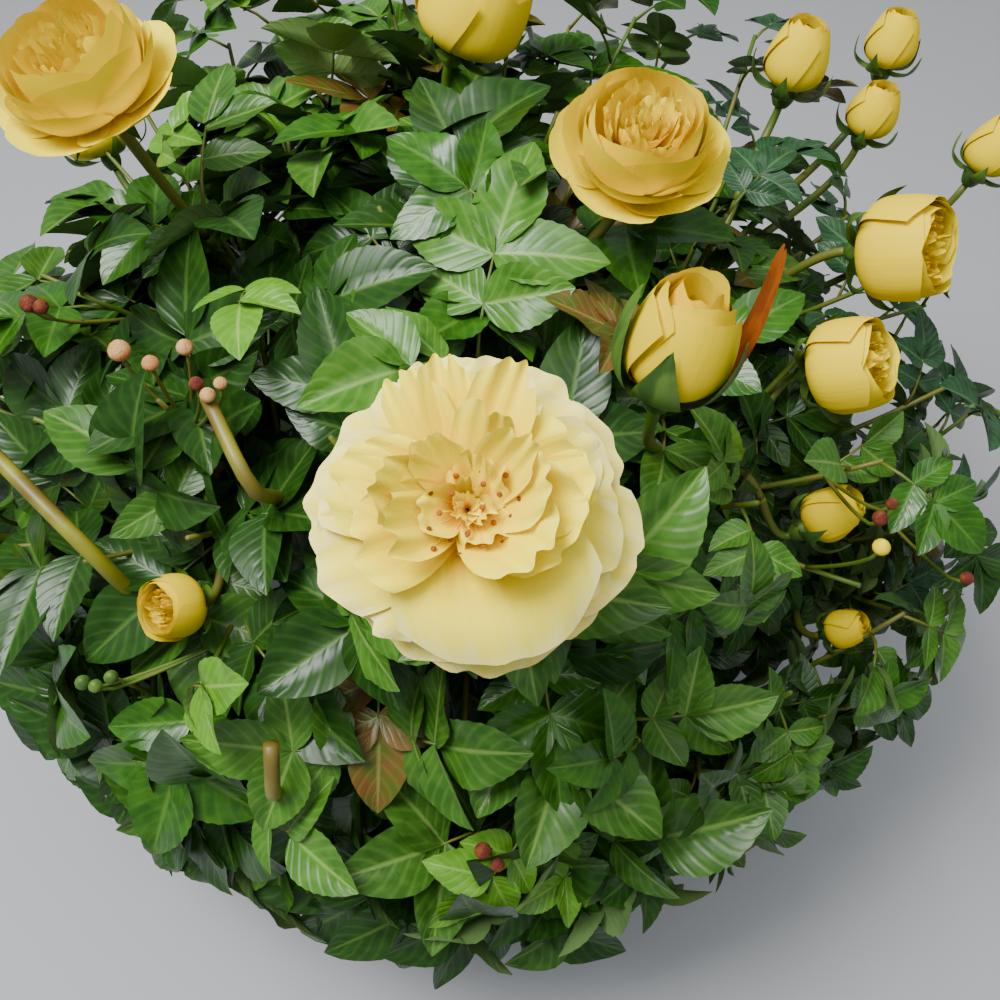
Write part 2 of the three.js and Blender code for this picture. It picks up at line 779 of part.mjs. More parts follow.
// The best of several turns of a compound leaf about its root: the one that keeps most leaflets.
function fittedLeaf(massIndex, root, outward, firstAngle) {
  const helper = Math.abs(outward.z) > 0.9 ? vec(0, 1, 0) : vec(0, 0, 1);
  const east = helper.clone().cross(outward).normalize();
  const north = outward.clone().cross(east);
  const facing = outward.clone().add(vec(0, 0, LEAF.skyward)).normalize();
  const turns = 8;
  const rachisForm = { footRadius: RACHIS.radius, tipRadius: RACHIS.radius, steps: RACHIS.steps };
  let best = null;
  for (let turn = 0; turn < turns; turn++) {
    const angle = firstAngle + (turn * 2 * Math.PI) / turns;
    const direction = outward.clone().multiplyScalar(0.3);
    direction.addScaledVector(east, Math.cos(angle)).addScaledVector(north, Math.sin(angle)).normalize();
    const leaf = compoundLeaf(root, direction, facing);
    const chain = capsulesOf(leaf.curve, rachisForm).slice(1);
    if (chainTouches(chain, placedRibs[massIndex], 0)) continue;
    if (!limbFits(massIndex, leaf.curve, rachisForm)) continue;
    const kept = leaf.leaflets.filter((leaflet) => leafletFits(massIndex, leaflet));
    if (!best || kept.length > best.kept.length) best = { ...leaf, kept };
    if (best.kept.length === LEAFLETS.length) break;
  }
  return best && best.kept.length > 1 ? best : null;
}

// Masses of foliage: twigs aimed at points spread over the crown, two compound leaves on each

function twigTowards(target, index) {
  const random = seededNumbers(SEED + 100 + index);
  const massIndex = massIndexAt(target);
  const outward = crownNormal(target);
  const [nearest, furthest] = TWIG.rootShare;
  const root = stems[massIndex].curve.getPointAt(THREE.MathUtils.lerp(nearest, furthest, random()));
  const tip = moved(target, outward, -TWIG.depth);
  const elbow = moved(root.clone().lerp(tip, 0.5), vec(0, 0, 1), -root.distanceTo(tip) * TWIG.sag);
  const curve = new THREE.QuadraticBezierCurve3(root, elbow, tip);
  return { massIndex, outward, curve, firstAngle: random() * 2 * Math.PI };
}

function massSolids() {
  const parts = MASSES.map(() => []);
  const addLimb = (massIndex, curve, form) => {
    parts[massIndex].push(solidOf(taperedTube(curve, form)));
    placedRibs[massIndex].push(...capsulesOf(curve, form));
  };
  stems.forEach(({ curve, form }, massIndex) => addLimb(massIndex, curve, form));
  flowers.forEach(({ massIndex, shoot, shootForm }) => addLimb(massIndex, shoot, shootForm));
  const twigs = crownPoints(TWIG.count).map(twigTowards);
  const grown = twigs.filter(({ massIndex, curve }) => limbFits(massIndex, curve, TWIG));
  grown.forEach(({ massIndex, curve }) => addLimb(massIndex, curve, TWIG));
  for (const { massIndex, outward, curve, firstAngle } of grown) {
    TWIG.leavesAt.forEach((along, order) => {
      const leaf = fittedLeaf(massIndex, curve.getPointAt(along), outward, firstAngle + order * GOLDEN_ANGLE);
      if (!leaf) return;
      parts[massIndex].push(solidOf(compoundLeafGeometry(leaf, leaf.kept)));
      leaf.kept.forEach(({ outline, tip }) => {
        placedRibs[massIndex].push({ start: outline[0], end: tip, radius: RIB_SPACE });
      });
    });
  }
  return parts.map((solids) => mainBody(wasm.Manifold.union(solids)));
}

// Flower heads, in a frame of their own: the axis is +Z and the receptacle's top is at the origin

// A petal follows its ring's meridian and wraps round the axis, inside its own sector of the ring.
function petalSurface({ count, belly, tip, halfWidth }, ringIndex, azimuth) {
  const start = new THREE.Vector2(PETAL.rootRadius, PETAL.rootSpacing * ringIndex);
  const middle = new THREE.Vector2(...belly);
  const end = new THREE.Vector2(...tip);
  const control = middle.multiplyScalar(2).sub(start.clone().add(end).multiplyScalar(0.5));
  const meridian = new THREE.QuadraticBezierCurve(start, control, end);
  const widest = (PETAL.sectorShare * Math.PI) / count;
  return (u, v) => {
    const along = Math.max(0, v * (1 - 0.16 * u * u));
    const [radius, height] = meridian.getPoint(along).toArray();
    const breadth = halfWidth * (0.14 + 0.86 * Math.sin(Math.PI * Math.min(1, 0.06 + along * 0.74)));
    const angle = azimuth + u * Math.min(widest, breadth / Math.max(radius, PETAL.rootRadius));
    return vec(radius * Math.cos(angle), radius * Math.sin(angle), height);
  };
}

// The five sepals are one star, thick in its middle and sharp at its tips.
function sepalStar([tipRadius, tipHeight]) {
  const { count, notchRadius, thickness } = SEPALS;
  const points = Array.from({ length: 2 * count }, (_, i) => {
    const radius = i % 2 ? notchRadius : tipRadius;
    const angle = (Math.PI * i) / count;
    return vec(radius * Math.cos(angle), radius * Math.sin(angle), i % 2 ? 0 : tipHeight);
  });
  const top = points.push(vec(0, 0, thickness / 2)) - 1;
  const bottom = points.push(vec(0, 0, -thickness / 2)) - 1;
  const triangles = [];
  for (let i = 0; i < 2 * count; i++) {
    const next = (i + 1) % (2 * count);
    triangles.push([top, i, next], [bottom, next, i]);
  }
  return closedGeometry(points, triangles);
}

function flowerHead({ core: [coreRadius, coreHeight], rings, sepalTip }) {
  const profile = [
    [0, -HIP.height],
    [HIP.radius * 0.6, -HIP.height],
    [HIP.radius, -HIP.height * 0.4],
    [coreRadius, coreHeight * 0.4],
    [coreRadius * 0.66, coreHeight * 0.8],
    [0, coreHeight],
  ].map(([radius, z]) => new THREE.Vector2(radius, z));
  const heart = new THREE.LatheGeometry(profile, HIP.sides);
  heart.rotateX(Math.PI / 2);
  const pieces = [solidOf(heart), solidOf(sepalStar(sepalTip))];
  rings.forEach((ring, ringIndex) => {
    for (let i = 0; i < ring.count; i++) {
      const azimuth = (2 * Math.PI * i) / ring.count + ringIndex * GOLDEN_ANGLE;
      pieces.push(solidOf(blade(PETAL, petalSurface(ring, ringIndex, azimuth))));
    }
  });
  return wasm.Manifold.union(pieces);
}

function flowerSolid({ form, scale, facing, at, stalk, stalkForm }) {
  const turn = new THREE.Quaternion().setFromUnitVectors(vec(0, 0, 1), facing);
  const placed = new THREE.Matrix4().compose(at, turn, vec(scale, scale, scale));
  const head = flowerHead(form).transform(placed.elements);
  return mainBody(head.add(solidOf(taperedTube(stalk, stalkForm))));
}

// Materials

const bark = new THREE.MeshStandardMaterial({ color: "#6b5a3c", roughness: 0.85, metalness: 0 });
const greenCane = new THREE.MeshStandardMaterial({ color: "#7d8a3a", roughness: 0.6, metalness: 0 });
const foliage = new THREE.MeshStandardMaterial({ color: "#2f5d2c", roughness: 0.4, metalness: 0 });
const petals = new THREE.MeshStandardMaterial({ color: "#f2d23c", roughness: 0.6, metalness: 0 });

// Assembly

const rose = new THREE.Group();
const base = stemBase();
rose.add(meshOf("stem_base", base, bark));
const clearBase = base.scale([1.03, 1.03, 1.008]);
for (const limb of limbs.values()) {
  rose.add(meshOf(limb.name, limbSolid(limb, clearBase), greenCane));
}
massSolids().forEach((solid, index) => rose.add(meshOf("foliage_" + MASSES[index].name, solid, foliage)));
for (const flower of flowers) {
  rose.add(meshOf(flower.name, flowerSolid(flower), petals));
}

export default rose;
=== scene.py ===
"""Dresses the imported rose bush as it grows: barked stem, canes, twigs, compound leaves and flowers."""

import json
import logging
import math
from dataclasses import dataclass, field
from enum import Enum

import bpy
import numpy as np
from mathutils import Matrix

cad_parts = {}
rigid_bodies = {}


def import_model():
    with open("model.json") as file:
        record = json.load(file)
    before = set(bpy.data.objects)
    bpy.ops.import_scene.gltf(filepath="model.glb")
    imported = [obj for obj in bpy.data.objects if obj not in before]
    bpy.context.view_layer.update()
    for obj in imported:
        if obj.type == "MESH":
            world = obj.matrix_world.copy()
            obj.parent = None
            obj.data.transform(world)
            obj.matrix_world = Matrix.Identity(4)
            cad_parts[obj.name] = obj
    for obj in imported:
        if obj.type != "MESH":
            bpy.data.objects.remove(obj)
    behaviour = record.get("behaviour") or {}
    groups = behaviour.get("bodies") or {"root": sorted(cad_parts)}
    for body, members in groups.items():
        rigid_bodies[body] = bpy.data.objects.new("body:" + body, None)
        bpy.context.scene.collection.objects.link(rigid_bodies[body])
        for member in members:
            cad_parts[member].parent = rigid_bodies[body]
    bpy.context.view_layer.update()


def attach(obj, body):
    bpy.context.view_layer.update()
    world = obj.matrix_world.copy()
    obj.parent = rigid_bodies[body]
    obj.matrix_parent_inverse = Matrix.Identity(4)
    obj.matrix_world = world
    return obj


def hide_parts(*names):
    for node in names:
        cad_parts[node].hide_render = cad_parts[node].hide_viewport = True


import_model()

log = logging.getLogger("rose_bush")

# Sizes are millimetres, as in the part's source, and turn into metres when a mesh is made.
MM = 0.001
SEED = 2718
GOLDEN_ANGLE = math.pi * (3 - math.sqrt(5))
UP = np.array([0.0, 0.0, 1.0])


# Small helpers


def vec(*values: float) -> np.ndarray:
    """The values as an array."""
    return np.array(values, dtype=float)


def unit(vectors: np.ndarray) -> np.ndarray:
    """The vectors at length 1, along their last axis."""
    lengths = np.linalg.norm(vectors, axis=-1, keepdims=True)
    return vectors / np.maximum(lengths, 1e-9)


def smooth_step(values: np.ndarray, low: float, high: float) -> np.ndarray:
    """Eases from 0 at low to 1 at high."""
    share = np.clip((values - low) / (high - low), 0, 1)
    return share * share * (3 - 2 * share)


def turn_from_up(facing: np.ndarray) -> np.ndarray:
    """The shortest turn that takes +Z to facing, as a 3 by 3 matrix.

    Args:
        facing: a unit vector.

    Returns:
        The matrix whose columns are the turned axes.
    """
    axis = np.cross(UP, facing)
    cosine = float(UP @ facing)
    cross = np.array([[0, -axis[2], axis[1]], [axis[2], 0, -axis[0]], [-axis[1], axis[0], 0]])
    return np.eye(3) + cross + cross @ cross / (1 + cosine)


class SeededNumbers:
    """The run of numbers from 0 to 1 that the part's source draws, the same for the same seed."""

    def __init__(self, seed: int) -> None:
        """Starts the run at a seed."""
        self.state = seed & 0xFFFFFFFF

    def next(self) -> float:
        """The next number."""
        self.state = (self.state * 1664525 + 1013904223) & 0xFFFFFFFF
        return self.state / 4294967296


class Course:
    """A smooth curve, kept as many points, that is read by its share of the length."""

    def __init__(self, points: np.ndarray) -> None:
        """Keeps the points and the length up to each."""
        self.points = points
        steps = np.linalg.norm(np.diff(points, axis=0), axis=1)
        self.lengths = np.concatenate([[0.0], np.cumsum(steps)])

    @property
    def length(self) -> float:
        """The curve's whole length."""
        return float(self.lengths[-1])

    def at(self, shares: float | np.ndarray) -> np.ndarray:
        """The points at these shares of the length."""
        wanted = np.asarray(shares) * self.lengths[-1]
        return np.stack([np.interp(wanted, self.lengths, self.points[:, k]) for k in range(3)], -1)

    def tangent(self, share: float) -> np.ndarray:
        """The direction of travel at a share of the length."""
        return unit(self.at(min(1.0, share + 0.01)) - self.at(max(0.0, share - 0.01)))

    @classmethod
    def bezier(cls, *controls: np.ndarray) -> "Course":
        """A Bezier curve of any number of control points.

        Args:
            *controls: the control points, first to last.

        Returns:
            The curve.
        """
        t = np.linspace(0, 1, 60)[:, None]
        order = len(controls) - 1
        points = sum(
            math.comb(order, k) * t**k * (1 - t) ** (order - k) * control
            for k, control in enumerate(controls)
        )
        return cls(points)

    @classmethod
    def through(cls, points: list[np.ndarray]) -> "Course":
        """A centripetal Catmull-Rom curve through the points.

        Args:
            points: the points that the curve passes.

        Returns:
            The curve, the same as the part's source makes.
        """
        padded = [2 * points[0] - points[1], *points, 2 * points[-1] - points[-2]]
        spans = []
        for p0, p1, p2, p3 in zip(padded, padded[1:], padded[2:], padded[3:]):
            d0, d1, d2 = (math.sqrt(np.linalg.norm(b - a)) for a, b in ((p0, p1), (p1, p2), (p2, p3)))
            start = ((p1 - p0) / d0 - (p2 - p0) / (d0 + d1) + (p2 - p1) / d1) * d1
            end = ((p2 - p1) / d1 - (p3 - p1) / (d1 + d2) + (p3 - p2) / d2) * d1
            t = np.linspace(0, 1, 40)[:, None]
            cubic = (2 * p1 - 2 * p2 + start + end) * t**3
            square = (-3 * p1 + 3 * p2 - 2 * start - end) * t**2
            spans.append((p1 + start * t + square + cubic)[:-1])
        return cls(np.concatenate([*spans, points[-1][None]]))


# The plan of the bush, as the part's source has it


@dataclass(frozen=True)
class Crown:
    """The crown's outline: fuller than an ellipsoid, and rounder behind than in front."""

    half_width: float = 312
    front_depth: float = 242
    back_depth: float = 282
    front_roundness: float = 1.6
    back_roundness: float = 2.1
    waist: float = 225
    top: float = 472
    foot: float = 95
    squareness: float = 2.5

    def value(self, points: np.ndarray) -> np.ndarray:
        """1 on the outline and less inside, for points along the last axis.

        Args:
            points: the points.

        Returns:
            Their values.
        """
        x, y, z = points[..., 0], points[..., 1], points[..., 2]
        front = y < 0
        roundness = np.where(front, self.front_roundness, self.back_roundness)
        depth = np.where(front, self.front_depth, self.back_depth)
        plan = (np.abs(x / self.half_width) ** roundness + np.abs(y / depth) ** roundness) ** (1 / roundness)
        rise = z - self.waist
        height = np.where(rise > 0, self.top - self.waist, self.waist - self.foot)
        return plan**self.squareness + np.abs(rise / height) ** self.squareness

    def normal(self, point: np.ndarray) -> np.ndarray:
        """The direction straight out of the crown at a point."""
        return unit(self.value(point + np.eye(3)) - self.value(point - np.eye(3)))

    def spread(self, count: int) -> list[np.ndarray]:
        """Points spread evenly over the crown by a golden spiral, from the top to under the waist.

        Args:
            count: how many.

        Returns:
            The points.
        """
        lowest = -0.62
        points = []
        for i in range(count):
            rise = 1 - ((i + 0.5) / count) * (1 - lowest)
            plan = math.sqrt(1 - rise * rise)
            angle = i * GOLDEN_ANGLE
            height = self.top - self.waist if rise > 0 else self.waist - self.foot
            sweep = vec(plan * math.cos(angle) * self.half_width, plan * math.sin(angle) * self.back_depth)
            centre = vec(0, 0, self.waist)
            direction = vec(*sweep, rise * height)
            reach = float(self.value(centre + direction)) ** (-1 / self.squareness)
            points.append(centre + reach * direction)
        return points


CROWN = Crown()
PLAN_SQUASH = 0.89
CLEARANCE = 0.3


def polar(azimuth: float, radius: float, height: float) -> np.ndarray:
    """A point, by its bearing in degrees, its distance from the stem and its height."""
    angle = math.radians(azimuth)
    return vec(radius * math.cos(angle), radius * PLAN_SQUASH * math.sin(angle), height)


class Tier(Enum):
    """The height at which a mass of foliage sits: its limb's tip, its stem's end and its seed point."""

    MIDDLE = ((5, 285), (0, 392), (0, 400))
    UPPER = ((70, 272), (142, 385), (152, 392))
    LOWER = ((135, 186), (212, 232), (226, 218))

    @property
    def tip(self) -> tuple[float, float]:
        """Where the cane or branch ends."""
        return self.value[0]

    @property
    def stem_end(self) -> tuple[float, float]:
        """Where the mass's own stem ends."""
        return self.value[1]

    @property
    def seed(self) -> tuple[float, float]:
        """The point that the mass's space lies around."""
        return self.value[2]


@dataclass(frozen=True)
class Mass:
    """A mass of foliage, and for a lower one the mass whose cane its branch springs from."""

    name: str
    tier: Tier
    azimuth: float
    parent: str = ""


MASSES = (
    Mass("middle", Tier.MIDDLE, 45),
    Mass("upper_front", Tier.UPPER, -90),
    Mass("upper_front_right", Tier.UPPER, -30),
    Mass("upper_back_right", Tier.UPPER, 30),
    Mass("upper_back", Tier.UPPER, 90),
    Mass("upper_back_left", Tier.UPPER, 150),
    Mass("upper_front_left", Tier.UPPER, 210),
    Mass("lower_front", Tier.LOWER, -90, "upper_front"),
    Mass("lower_front_right", Tier.LOWER, -45, "upper_front_right"),
    Mass("lower_right", Tier.LOWER, 0, "upper_back_right"),
    Mass("lower_back_right", Tier.LOWER, 47, "upper_back_right"),
    Mass("lower_back", Tier.LOWER, 93, "upper_back"),
    Mass("lower_back_left", Tier.LOWER, 137, "upper_back_left"),
    Mass("lower_left", Tier.LOWER, 181, "upper_back_left"),
    Mass("lower_front_left", Tier.LOWER, 226, "upper_front_left"),
)


@dataclass
class Skeleton:
    """The limbs of the bush, worked out by the same rule as in the part's source."""

    limbs: dict[str, Course] = field(default_factory=dict)
    stems: dict[str, Course] = field(default_factory=dict)

    def __post_init__(self) -> None:
        """Grows the canes, the branches and the stem of each mass."""
        for index, mass in enumerate(MASSES):
            if mass.tier is not Tier.LOWER:
                self.limbs[mass.name] = self.cane(mass, SeededNumbers(SEED + index))
        so_far: dict[str, int] = {}
        for mass in MASSES:
            if mass.tier is Tier.LOWER:
                order = so_far.get(mass.parent, 0)
                so_far[mass.parent] = order + 1
                self.limbs[mass.name] = self.branch(mass, self.limbs[mass.parent], order)
        for mass in MASSES:
            self.stems[mass.name] = self.stem(mass)

    def cane(self, mass: Mass, random: SeededNumbers) -> Course:
        """A main cane, from the knob of the stem base to its mass.

        Args:
            mass: the mass it carries.
            random: draws its bow.

        Returns:
            Its centre line.
        """
        tip = polar(mass.azimuth, *mass.tier.tip)
        sideways = polar(mass.azimuth + 90, 1, 0)
        bow = (random.next() - 0.5) * 22
        reach = 0.1 if mass.tier is Tier.MIDDLE else 1
        waypoints = [
            polar(mass.azimuth, 9 * reach, 34),
            polar(mass.azimuth, 24 * reach, 92) + sideways * bow * 0.3,
            polar(mass.azimuth, np.linalg.norm(tip) * 0.13 * reach + 8, 180) + sideways * bow,
            tip,
        ]
        return Course.through(waypoints)

    def branch(self, mass: Mass, cane: Course, order: int) -> Course:
        """A side branch, from its cane to its mass.

        Args:
            mass: the mass it carries.
            cane: the cane it springs from.
            order: its number on that cane.

        Returns:
            Its centre line.
        """
        tip = polar(mass.azimuth, *mass.tier.tip)
        start = cane.at(0.27 + 0.13 * order)
        elbow = start + (tip - start) * 0.45 + vec(0, 0, 14)
        return Course.bezier(start, elbow, tip)

    def stem(self, mass: Mass) -> Course:
        """The stem of a mass, going on from its limb's tip.

        Args:
            mass: the mass.

        Returns:
            Its centre line.
        """
        limb = self.limbs[mass.name]
        onward = limb.tangent(1)
        start = limb.at(1.0) + onward * CLEARANCE
        end = polar(mass.azimuth, *mass.tier.stem_end)
        reach = float(np.linalg.norm(end - start))
        return Course.bezier(start, start + onward * reach * 0.35, end - UP * reach * 0.3, end)


# Meshes


class MeshPile:
    """Sheets of quads gathered for one joined piece."""

    def __init__(self) -> None:
        """Starts empty."""
        self.points: list[np.ndarray] = []
        self.faces: list[np.ndarray] = []
        self.places: list[np.ndarray] = []
        self.finishes: list[np.ndarray] = []
        self.count = 0

    def add(self, sheets: np.ndarray, finish: int | np.ndarray = 0, wrap: bool = False) -> None:
        """Adds sheets that share one grid.

        Args:
            sheets: points, of shape (rows, columns, 3) or (sheets, rows, columns, 3).
            finish: the material's number, one for all or one for each sheet.
            wrap: True for a tube, whose last column meets its first, with its faces outward.
        """
        if sheets.ndim == 3:
            sheets = sheets[None]
        copies, rows, columns, _ = sheets.shape
        if not copies:
            return
        corner = np.arange(rows * columns).reshape(rows, columns)
        if wrap:
            corner = np.concatenate([corner, corner[:, :1]], axis=1)
        quads = np.stack([corner[:-1, :-1], corner[1:, :-1], corner[1:, 1:], corner[:-1, 1:]], -1)
        quads = quads.reshape(-1, 4)
        if wrap:
            quads = quads[:, ::-1]
        starts = self.count + np.arange(copies) * rows * columns
        self.points.append(sheets.reshape(-1, 3))
        self.faces.append((quads[None] + starts[:, None, None]).reshape(-1, 4))
        across, along = np.meshgrid(np.linspace(0, 1, columns), np.linspace(0, 1, rows))
        place = np.stack([across, along], -1).reshape(-1, 2)
        self.places.append(np.tile(place, (copies, 1)))
        numbers = np.broadcast_to(np.asarray(finish), (copies,))
        self.finishes.append(np.repeat(numbers, len(quads)))
        self.count += copies * rows * columns

    def build(self, name: str, materials: list[bpy.types.Material]) -> bpy.types.Object:
        """Makes one smooth mesh object of the gathered sheets.

        Args:
            name: the piece's name.
            materials: the materials that the finish numbers stand for.

        Returns:
            The new object, linked to the scene.
        """
        points = np.concatenate(self.points) * MM
        faces = np.concatenate(self.faces)
        mesh = bpy.data.meshes.new(name)
        mesh.vertices.add(len(points))
        mesh.vertices.foreach_set("co", points.astype(np.float32).ravel())
        mesh.loops.add(faces.size)
        mesh.loops.foreach_set("vertex_index", faces.astype(np.int32).ravel())
        mesh.polygons.add(len(faces))
        mesh.polygons.foreach_set("loop_start", np.arange(0, faces.size, 4, dtype=np.int32))
        mesh.polygons.foreach_set("material_index", np.concatenate(self.finishes).astype(np.int32))
        mesh.polygons.foreach_set("use_smooth", np.ones(len(faces), dtype=bool))
        layer = mesh.uv_layers.new(name="UVMap")
        layer.data.foreach_set("uv", np.concatenate(self.places)[faces.ravel()].astype(np.float32).ravel())
        mesh.update(calc_edges=True)
        for material in materials:
            mesh.materials.append(material)
        piece = bpy.data.objects.new(name, mesh)
        bpy.context.scene.collection.objects.link(piece)
        return piece


def tube(course: Course, radii: np.ndarray, sides: int) -> np.ndarray:
    """A round limb along a curve, closed to a point at both ends.

    Args:
        course: the limb's centre line.
        radii: the radius at even steps of length from foot to tip.
        sides: how many corners its section has.

    Returns:
        Points of shape (rings, sides, 3), for a wrapped sheet.
    """
    shares = np.linspace(0, 1, len(radii))
    centres = course.at(shares)
    tangents = unit(np.gradient(centres, axis=0))
    side = unit(np.cross(tangents[0], vec(0.31, 0.87, 0.38)))
    sides_of = []
    for tangent in tangents:
        side = unit(side - tangent * (side @ tangent))
        sides_of.append(side)
    normals = np.array(sides_of)
    binormals = np.cross(tangents, normals)
    angles = np.linspace(0, 2 * math.pi, sides, endpoint=False)
    around = normals[:, None] * np.cos(angles)[None, :, None]
    around = around + binormals[:, None] * np.sin(angles)[None, :, None]
    rings = centres[:, None] + around * radii[:, None, None]
    first = centres[:1, None] + around[:1] * 0.05
    last = centres[-1:, None] + around[-1:] * 0.05
    return np.concatenate([first, rings, last])


def ridge_noise(seed: int, around: np.ndarray, along: np.ndarray) -> np.ndarray:
    """Smooth noise that closes on itself around a limb: a sum of seeded waves.

    Args:
        seed: which noise.
        around: angles about the limb.
        along: distances along the limb in mm.

    Returns:
        The noise, roughly from -1 to 1.
    """
    random = np.random.default_rng(seed)
    total = np.zeros(np.broadcast(around, along).shape)
    for _ in range(10):
        lobes = random.integers(1, 9)
        pitch = random.uniform(0.03, 0.22)
        total = total + np.sin(lobes * around + pitch * along + random.uniform(0, 6.3))
    return total / 5


# Finishes


def linear(colour: str) -> tuple[float, float, float, float]:
    """An sRGB hex colour as linear RGBA.

    Args:
        colour: the colour as #rrggbb.

    Returns:
        Red, green, blue and alpha, each from 0 to 1.
    """
    parts = [int(colour[k : k + 2], 16) / 255 for k in (1, 3, 5)]
    values = [c / 12.92 if c <= 0.04045 else ((c + 0.055) / 1.055) ** 2.4 for c in parts]
    return (values[0], values[1], values[2], 1.0)


def add_node(
    tree: bpy.types.NodeTree, kind: str, settings: dict | None = None, links: dict | None = None
) -> bpy.types.Node:
    """Adds a node with its settings and links.

    Args:
        tree: the material's node tree.
        kind: the node's type name.
        settings: attributes of the node.
        links: for each input, by name or number, the socket it is linked from or its value.

    Returns:
        The new node.
    """
    node = tree.nodes.new(kind)
    for name, value in (settings or {}).items():
        setattr(node, name, value)
    for socket, value in (links or {}).items():
        if isinstance(value, bpy.types.NodeSocket):
            tree.links.new(value, node.inputs[socket])
        else:
            node.inputs[socket].default_value = value
    return node


def new_material(name: str) -> tuple[bpy.types.Material, bpy.types.NodeTree]:
    """An empty node material and its tree.

    Args:
        name: the material's name.

    Returns:
        The material and its node tree.
    """
    material = bpy.data.materials.new(name)
    material.use_nodes = True
    material.node_tree.nodes.clear()
    return material, material.node_tree


@dataclass(frozen=True)
class LeafFinish:
    """Rose leaf: a waxy cuticle over green tissue, quilted between sunken veins, paler underneath.

    To the eye: a satin gloss broken up by the quilting, with fine pale veins.
    """

    name: str
    upper: str
    upper_light: str
    vein: str
    under: str
    roughness: float = 0.34
    specular: float = 0.35
    coat: float = 0.0
    coat_roughness: float = 0.14
    veins: float = 7.0
    slant: float = 2.2
    relief_mm: float = 0.4

    def build(self) -> bpy.types.Material:
        """Makes the material."""
        material, tree = new_material(self.name)
        place = add_node(tree, "ShaderNodeUVMap")
        split = add_node(tree, "ShaderNodeSeparateXYZ", links={0: place.outputs["UV"]})
        offset = add_node(tree, "ShaderNodeMath", {"operation": "SUBTRACT"}, {0: split.outputs["X"], 1: 0.5})
        side = add_node(tree, "ShaderNodeMath", {"operation": "ABSOLUTE"}, {0: offset.outputs[0]})
        slanted = add_node(
            tree, "ShaderNodeMath", {"operation": "MULTIPLY"}, {0: side.outputs[0], 1: -2 * self.slant}
        )
        beat = add_node(
            tree,
            "ShaderNodeMath",
            {"operation": "MULTIPLY_ADD"},
            {0: split.outputs["Y"], 1: self.veins, 2: slanted.outputs[0]},
        )
        wave = add_node(tree, "ShaderNodeMath", {"operation": "PINGPONG"}, {0: beat.outputs[0], 1: 0.5})
        dome = add_node(
            tree,
            "ShaderNodeMapRange",
            {"interpolation_type": "SMOOTHSTEP"},
            {"Value": wave.outputs[0], "From Min": 0.0, "From Max": 0.3},
        )
        midrib = add_node(
            tree,
            "ShaderNodeMapRange",
            {"interpolation_type": "SMOOTHSTEP"},
            {"Value": side.outputs[0], "From Min": 0.0, "From Max": 0.06},
        )
        relief = add_node(
            tree, "ShaderNodeMath", {"operation": "MINIMUM"}, {0: dome.outputs[0], 1: midrib.outputs[0]}
        )
        bump = add_node(
            tree,
            "ShaderNodeBump",
            links={"Height": relief.outputs[0], "Strength": 0.32, "Distance": self.relief_mm * MM},
        )
        mottle = add_node(tree, "ShaderNodeTexNoise", links={"Scale": 30.0, "Detail": 3.0})
        spread = add_node(
            tree,
            "ShaderNodeMapRange",
            links={"Value": mottle.outputs["Fac"], "From Min": 0.35, "From Max": 0.65},
        )
        tissue = add_node(
            tree,
            "ShaderNodeMix",
            {"data_type": "RGBA"},
            {"Factor": spread.outputs[0], "A": linear(self.upper), "B": linear(self.upper_light)},
        )
        fine_lines = add_node(
            tree, "ShaderNodeMath", {"operation": "MULTIPLY_ADD"}, {0: dome.outputs[0], 1: -0.13, 2: 0.13}
        )
        main_line = add_node(
            tree, "ShaderNodeMath", {"operation": "MULTIPLY_ADD"}, {0: midrib.outputs[0], 1: -0.6, 2: 0.6}
        )
        lines = add_node(
            tree,
            "ShaderNodeMath",
            {"operation": "MAXIMUM"},
            {0: fine_lines.outputs[0], 1: main_line.outputs[0]},
        )
        veined = add_node(
            tree,
            "ShaderNodeMix",
            {"data_type": "RGBA"},
            {"Factor": lines.outputs[0], "A": tissue.outputs["Result"], "B": linear(self.vein)},
        )
        back = add_node(tree, "ShaderNodeNewGeometry")
        sided = add_node(
            tree,
            "ShaderNodeMix",
            {"data_type": "RGBA"},
            {"Factor": back.outputs["Backfacing"], "A": veined.outputs["Result"], "B": linear(self.under)},
        )
        shader = add_node(
            tree,
            "ShaderNodeBsdfPrincipled",
            links={
                "Base Color": sided.outputs["Result"],
                "Roughness": self.roughness,
                "Specular IOR Level": self.specular,
                "Coat Weight": self.coat,
                "Coat Roughness": self.coat_roughness,
                "Normal": bump.outputs["Normal"],
            },
        )
        add_node(tree, "ShaderNodeOutputMaterial", links={"Surface": shader.outputs["BSDF"]})
        return material


